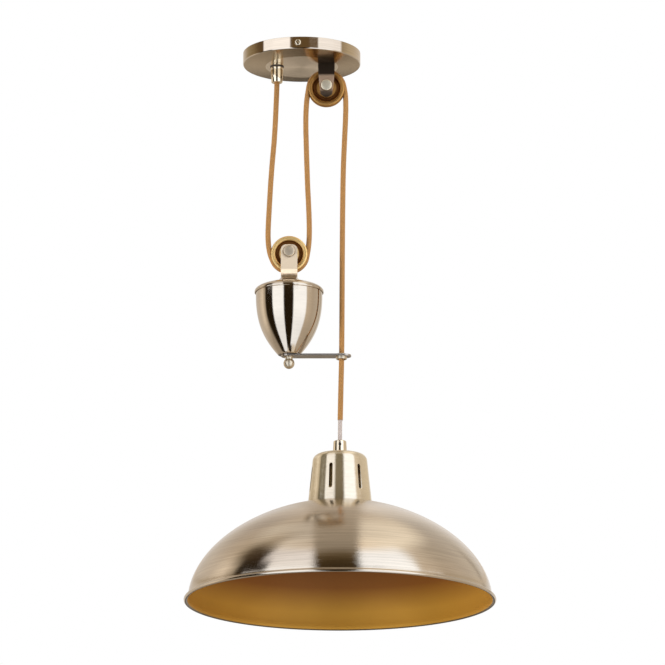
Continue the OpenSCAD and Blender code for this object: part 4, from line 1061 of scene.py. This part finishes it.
def make_world():
    """White to the camera, plain to matt surfaces, and soft boxes with dark gaps in reflections."""
    world = bpy.data.worlds.new("studio")
    world.use_nodes = True
    bpy.context.scene.world = world
    tree = world.node_tree
    direction = add(tree, "TexCoord").outputs["Generated"]
    x, y, z = add(tree, "SeparateXYZ", {0: direction}).outputs
    towards_viewer = calc(tree, "MULTIPLY", y, -1.0)
    turn = calc(tree, "ARCTAN2", x, towards_viewer)
    share = calc(tree, "MULTIPLY_ADD", turn, 1 / (2 * math.pi), 0.5)

    def by_turn(bands):
        return ramp(tree, share, [(a / 360 + 0.5, c) for a, c in bands])

    def rise(start, end):
        """0 to 1 between two elevations in degrees."""
        return ease(tree, z, math.sin(math.radians(start)), math.sin(math.radians(end)))

    def by_rise(tones):
        return ramp(tree, calc(tree, "ADD", z, 1.0), [
            (1 + math.sin(math.radians(a)), c) for a, c in tones])

    def product(*factors):
        result = factors[0]
        for factor in factors[1:]:
            result = calc(tree, "MULTIPLY", result, factor)
        return result

    def off(centre):
        """How far to either side of a centre the direction points."""
        return calc(tree, "ABSOLUTE", calc(tree, "SUBTRACT", x, centre))

    def edge(start, slope, side):
        """1 on the gap's side of one of its long edges, which stand wider apart at the front."""
        reach = calc(tree, "MULTIPLY_ADD", towards_viewer, slope, start)
        return ease(tree, calc(tree, "MULTIPLY_ADD", x, side, reach), -GAP_BLUR, GAP_BLUR)

    studio = mixed(tree, rise(*DOWN_RISE), NADIR, by_turn(DOWN_BANDS))
    for limits, bands in ((LOW_RISE, LOW_BANDS), (SHOULDER_RISE, SHOULDER_BANDS),
                          (MIDDLE_RISE, MIDDLE_BANDS), (HIGH_RISE, HIGH_BANDS)):
        studio = mixed(tree, rise(*limits), studio, by_turn(bands))
    belt = product(rise(*BELT_START), rise(*BELT_END))
    studio = mixed(tree, belt, studio, by_turn(ROSE_BANDS))
    zenith = mixed(tree, ease(tree, x, *ZENITH_SPREAD), ZENITH_LEFT, ZENITH_RIGHT)
    studio = mixed(tree, rise(*ZENITH_RISE), studio, zenith)

    gap = product(*(edge(*values) for values in GAP_EDGES), rise(*GAP_RISE))
    tone = ramp(tree, calc(tree, "MULTIPLY_ADD", towards_viewer, 0.5, 0.5), GAP_TONES)
    studio = mixed(tree, gap, studio, tone)

    aside = off(STAND_FACE_X)
    beside = blended(tree, rise(*STAND_STEP), ease(tree, off(STAND_LOW_X), *STAND_LOW),
                     ease(tree, aside, *STAND_FACE))
    behind = mixed(tree, beside, by_rise(STAND_TONES), by_rise(BESIDE_TONES))
    there = product(ease(tree, aside, *BESIDE_REACH), ease(tree, towards_viewer, *BEHIND),
                    rise(*STAND_RISE), rise(*STAND_FALL))
    studio = mixed(tree, there, studio, behind)

    path = add(tree, "LightPath")
    room = mixed(tree, ease(tree, x, *ROOM_SPREAD), ROOM_LEFT, ROOM_RIGHT)
    shown = mixed(tree, path.outputs["Is Glossy Ray"], room, studio)
    shown = mixed(tree, path.outputs["Is Camera Ray"], shown, BACKDROP)
    background = tree.nodes["Background"]
    tree.links.new(shown, background.inputs["Color"])
    background.inputs["Strength"].default_value = 1.0


# Soft round lamps: name, place, size in metres, power in watts, and what each is aimed at.
PENDANT, SHADE_MOUTH = (0, 0, -0.35), (0.04, 0, -0.6)
LAMPS = (
    ("key", (2.4, -2.6, 1.6), 2.2, 105, PENDANT),
    ("fill", (-2.8, -2.0, 0.4), 2.4, 22, PENDANT),
    ("under_left", (-3.0, -0.9, -1.6), 1.2, 125, SHADE_MOUTH),
    ("under_right", (3.0, -0.9, -1.6), 1.2, 48, SHADE_MOUTH),
)


def make_lamp(name, place, size, power, target):
    data = bpy.data.lights.new(name, "AREA")
    data.shape = "DISK"
    data.size = size
    data.energy = power
    made = new_object(name, data)
    made.location = place
    aim = Vector(target) - Vector(place)
    made.rotation_euler = aim.to_track_quat("-Z", "Y").to_euler()
    made.visible_glossy = False


FLOOR_Z = -6.8
FLOOR_SIZE = 200.0
FLOOR_TONE = (0.9, 0.9, 0.9)
FLOOR_GLOW = 0.8


def make_floor():
    """A pale floor far below, which looks almost white to the camera and lies in no reflection."""
    bm = bmesh.new()
    bmesh.ops.create_grid(bm, x_segments=1, y_segments=1, size=FLOOR_SIZE / 2)
    mesh = bpy.data.meshes.new("floor")
    bm.to_mesh(mesh)
    bm.free()
    material, tree, shader = new_material("floor", FLOOR_TONE, Roughness=0.9)
    path = add(tree, "LightPath")
    glow = add(tree, "Emission", {"Color": (1, 1, 1, 1), "Strength": 1.0})
    share = calc(tree, "MULTIPLY", path.outputs["Is Camera Ray"], FLOOR_GLOW)
    both = add(tree, "MixShader", {0: share, 1: shader.outputs[0], 2: glow.outputs[0]})
    tree.links.new(both.outputs[0], tree.nodes["Material Output"].inputs["Surface"])
    piece = new_object("floor", mesh, [material])
    piece.location.z = FLOOR_Z
    piece.visible_glossy = False


# ---------- putting it together ----------


def paint(material, names):
    """Gives CAD nodes, whose names are in one line, a material."""
    for name in names.split():
        for slot in nodes[name].material_slots:
            slot.material = material


def build():
    make_camera()
    make_world()
    make_floor()
    for values in LAMPS:
        make_lamp(*values)

    origin, weight_axis, lamp_axis = tuple(at(0)), tuple(at(WEIGHT_X)), tuple(at(LAMP_X))
    polished = polished_brass("polished_brass")
    top_fork_metal = satin_metal("top_fork_brass", TOP_FORK_BRASS, heights=TOP_FORK_LIGHT_AND_SHADE)
    holder_metal = satin_metal("holder_brass", HOLDER_BRASS, rough=0.45, metal=0.3)
    fork_metal = satin_metal("fork_brass", WEIGHT_FORK_BRASS, rough=0.5, metal=0.25,
                             heights=WEIGHT_FORK_PAINTED_LIGHT)
    fabric = woven("flex_fabric", FLEX_LIGHT, FLEX_DIP_SHADE, around=14, lay=0.019)
    tail_weave = woven("tail_braid", TAIL_LIGHT, TAIL_DARK, around=8, lay=0.015,
                       metal=0.3, rough=0.5)
    make_flex(fabric, tail_weave)

    # The rose's face is painted lighter and its cone darker, as painted light and shade.
    rose([brushed_brass("rose_brass", origin, rough=0.045, pitch=0.0016, marks=0.012,
                        contrast=0.22),
          brushed_brass("rose_face", origin, rough=0.20, marks=0.03, colour=LIT_FACE_BRASS,
                        anisotropic=0.4),
          brushed_brass("rose_cone", origin, rough=0.20, pitch=0.0012, marks=0.04,
                        colour=SHADED_CONE_BRASS, contrast=0.30, anisotropic=0.3)])
    gland(polished)
    # The top sheave's brass is painted darker than the counterweight's, as painted shade.
    wheels = (("top", TOP_X, TOP_AXLE_Z, PIN_BRASS, SHADED_SHEAVE_BRASS),
              ("weight", WEIGHT_X, WEIGHT_AXLE_Z, WEIGHT_PIN_BRASS, SHEAVE_BRASS))
    for side, x, z, pin_brass, _ in wheels:
        pin = satin_metal(side + "_pin_brass", pin_brass)
        axle_head(side + "_pin", side + "_axle", x, z, pin)
    for side, x, z, _, wheel_brass in wheels:
        centre = tuple(at(x, z))
        metal = brushed_brass(side + "_wheel_brass", centre, axis="Y", rough=0.44, pitch=0.0006,
                              colour=wheel_brass, contrast=0.10, anisotropic=0.0)
        # The recesses are painted dark as painted shade.
        recess = brushed_brass(side + "_wheel_recess_shade", centre, axis="Y", rough=0.45,
                               pitch=0.0006, colour=RECESS_SHADE, contrast=0.15,
                               anisotropic=0.0)
        sheave(side + "_wheel", side + "_sheave", x, z, [metal, recess])
    weight_metal = brushed_brass("weight_brass", weight_axis, rough=0.09, pitch=0.0016)
    lid(weight_metal)
    shell(weight_metal)
    satin_brass = polished_brass("satin_brass", SATIN_BRASS, rough=0.34)
    finial(satin_brass)
    eyelet(satin_brass)
    grip(polished)
    cover(brushed_brass("cover_brass", lamp_axis, rough=0.075, pitch=0.0010, marks=0.12,
                        colour=COVER_BRASS, contrast=0.22, veil=0.18))
    # The bead's underside is painted dark as painted shade.
    shade(brushed_brass("shade_brass", lamp_axis, rough=0.13, pitch=0.0018, marks=0.12,
                        contrast=0.32, anisotropic=0.9),
          gold_paint("shade_gold"),
          polished_brass("rim_shade_brass", RIM_SHADE_BRASS, rough=0.3))

    round_off("top_fork", top_fork_metal, 0.45)
    round_off("weight_fork", fork_metal, 0.45)
    round_off("guide_arm", satin_metal("arm_steel", ARM_STEEL, rough=0.36), 0.35)
    round_off("top_axle_nut", polished, 0.2)
    round_off("weight_axle_nut", polished, 0.2)
    round_off("canopy_side_screws", polished, 0.12)

    for material, names in (
        (fork_metal, "top_spacers weight_spacers"),
        (satin_metal("bronze", BUSH_BRONZE, rough=0.38), "top_sheave_bush weight_sheave_bush"),
        (cast("cast_iron", CAST_IRON), "ballast_slug"),
        (moulded("fibre", FIBRE, rough=0.7), "gland_washer"),
        (glazed("ceramic", CERAMIC), "lampholder_insert"),
        (moulded("white_moulding", CREAM, rough=0.42), "terminal_block"),
        (holder_metal, "lampholder_cap lampholder_body"),
        (moulded("black_moulding", BLACK, rough=0.36), "shade_ring_upper shade_ring_lower"),
        (satin_metal("dark_steel", DARK_STEEL, rough=0.4), "gland_grub_screw cord_grip_screw"),
        (satin_metal("contact_brass", CONTACT_BRASS, rough=0.3),
         "terminal_barrels earth_screw gland_locknut screw_shell centre_contact"),
        (satin_metal("zinc_steel", ZINC, rough=0.34),
         "ceiling_strap terminal_screws block_screws top_fork_screws tie_rod tie_rod_nut "
         "nipple nipple_nut insert_screws"),
        (moulded("live_brown", LIVE_BROWN, rough=0.35), "ceiling_live_core lamp_live_core"),
        (moulded("neutral_blue", NEUTRAL_BLUE, rough=0.35),
         "ceiling_neutral_core lamp_neutral_core"),
        (moulded("earth_green", EARTH_GREEN, rough=0.35), "ceiling_earth_core lamp_earth_core"),
    ):
        paint(material, names)


build()
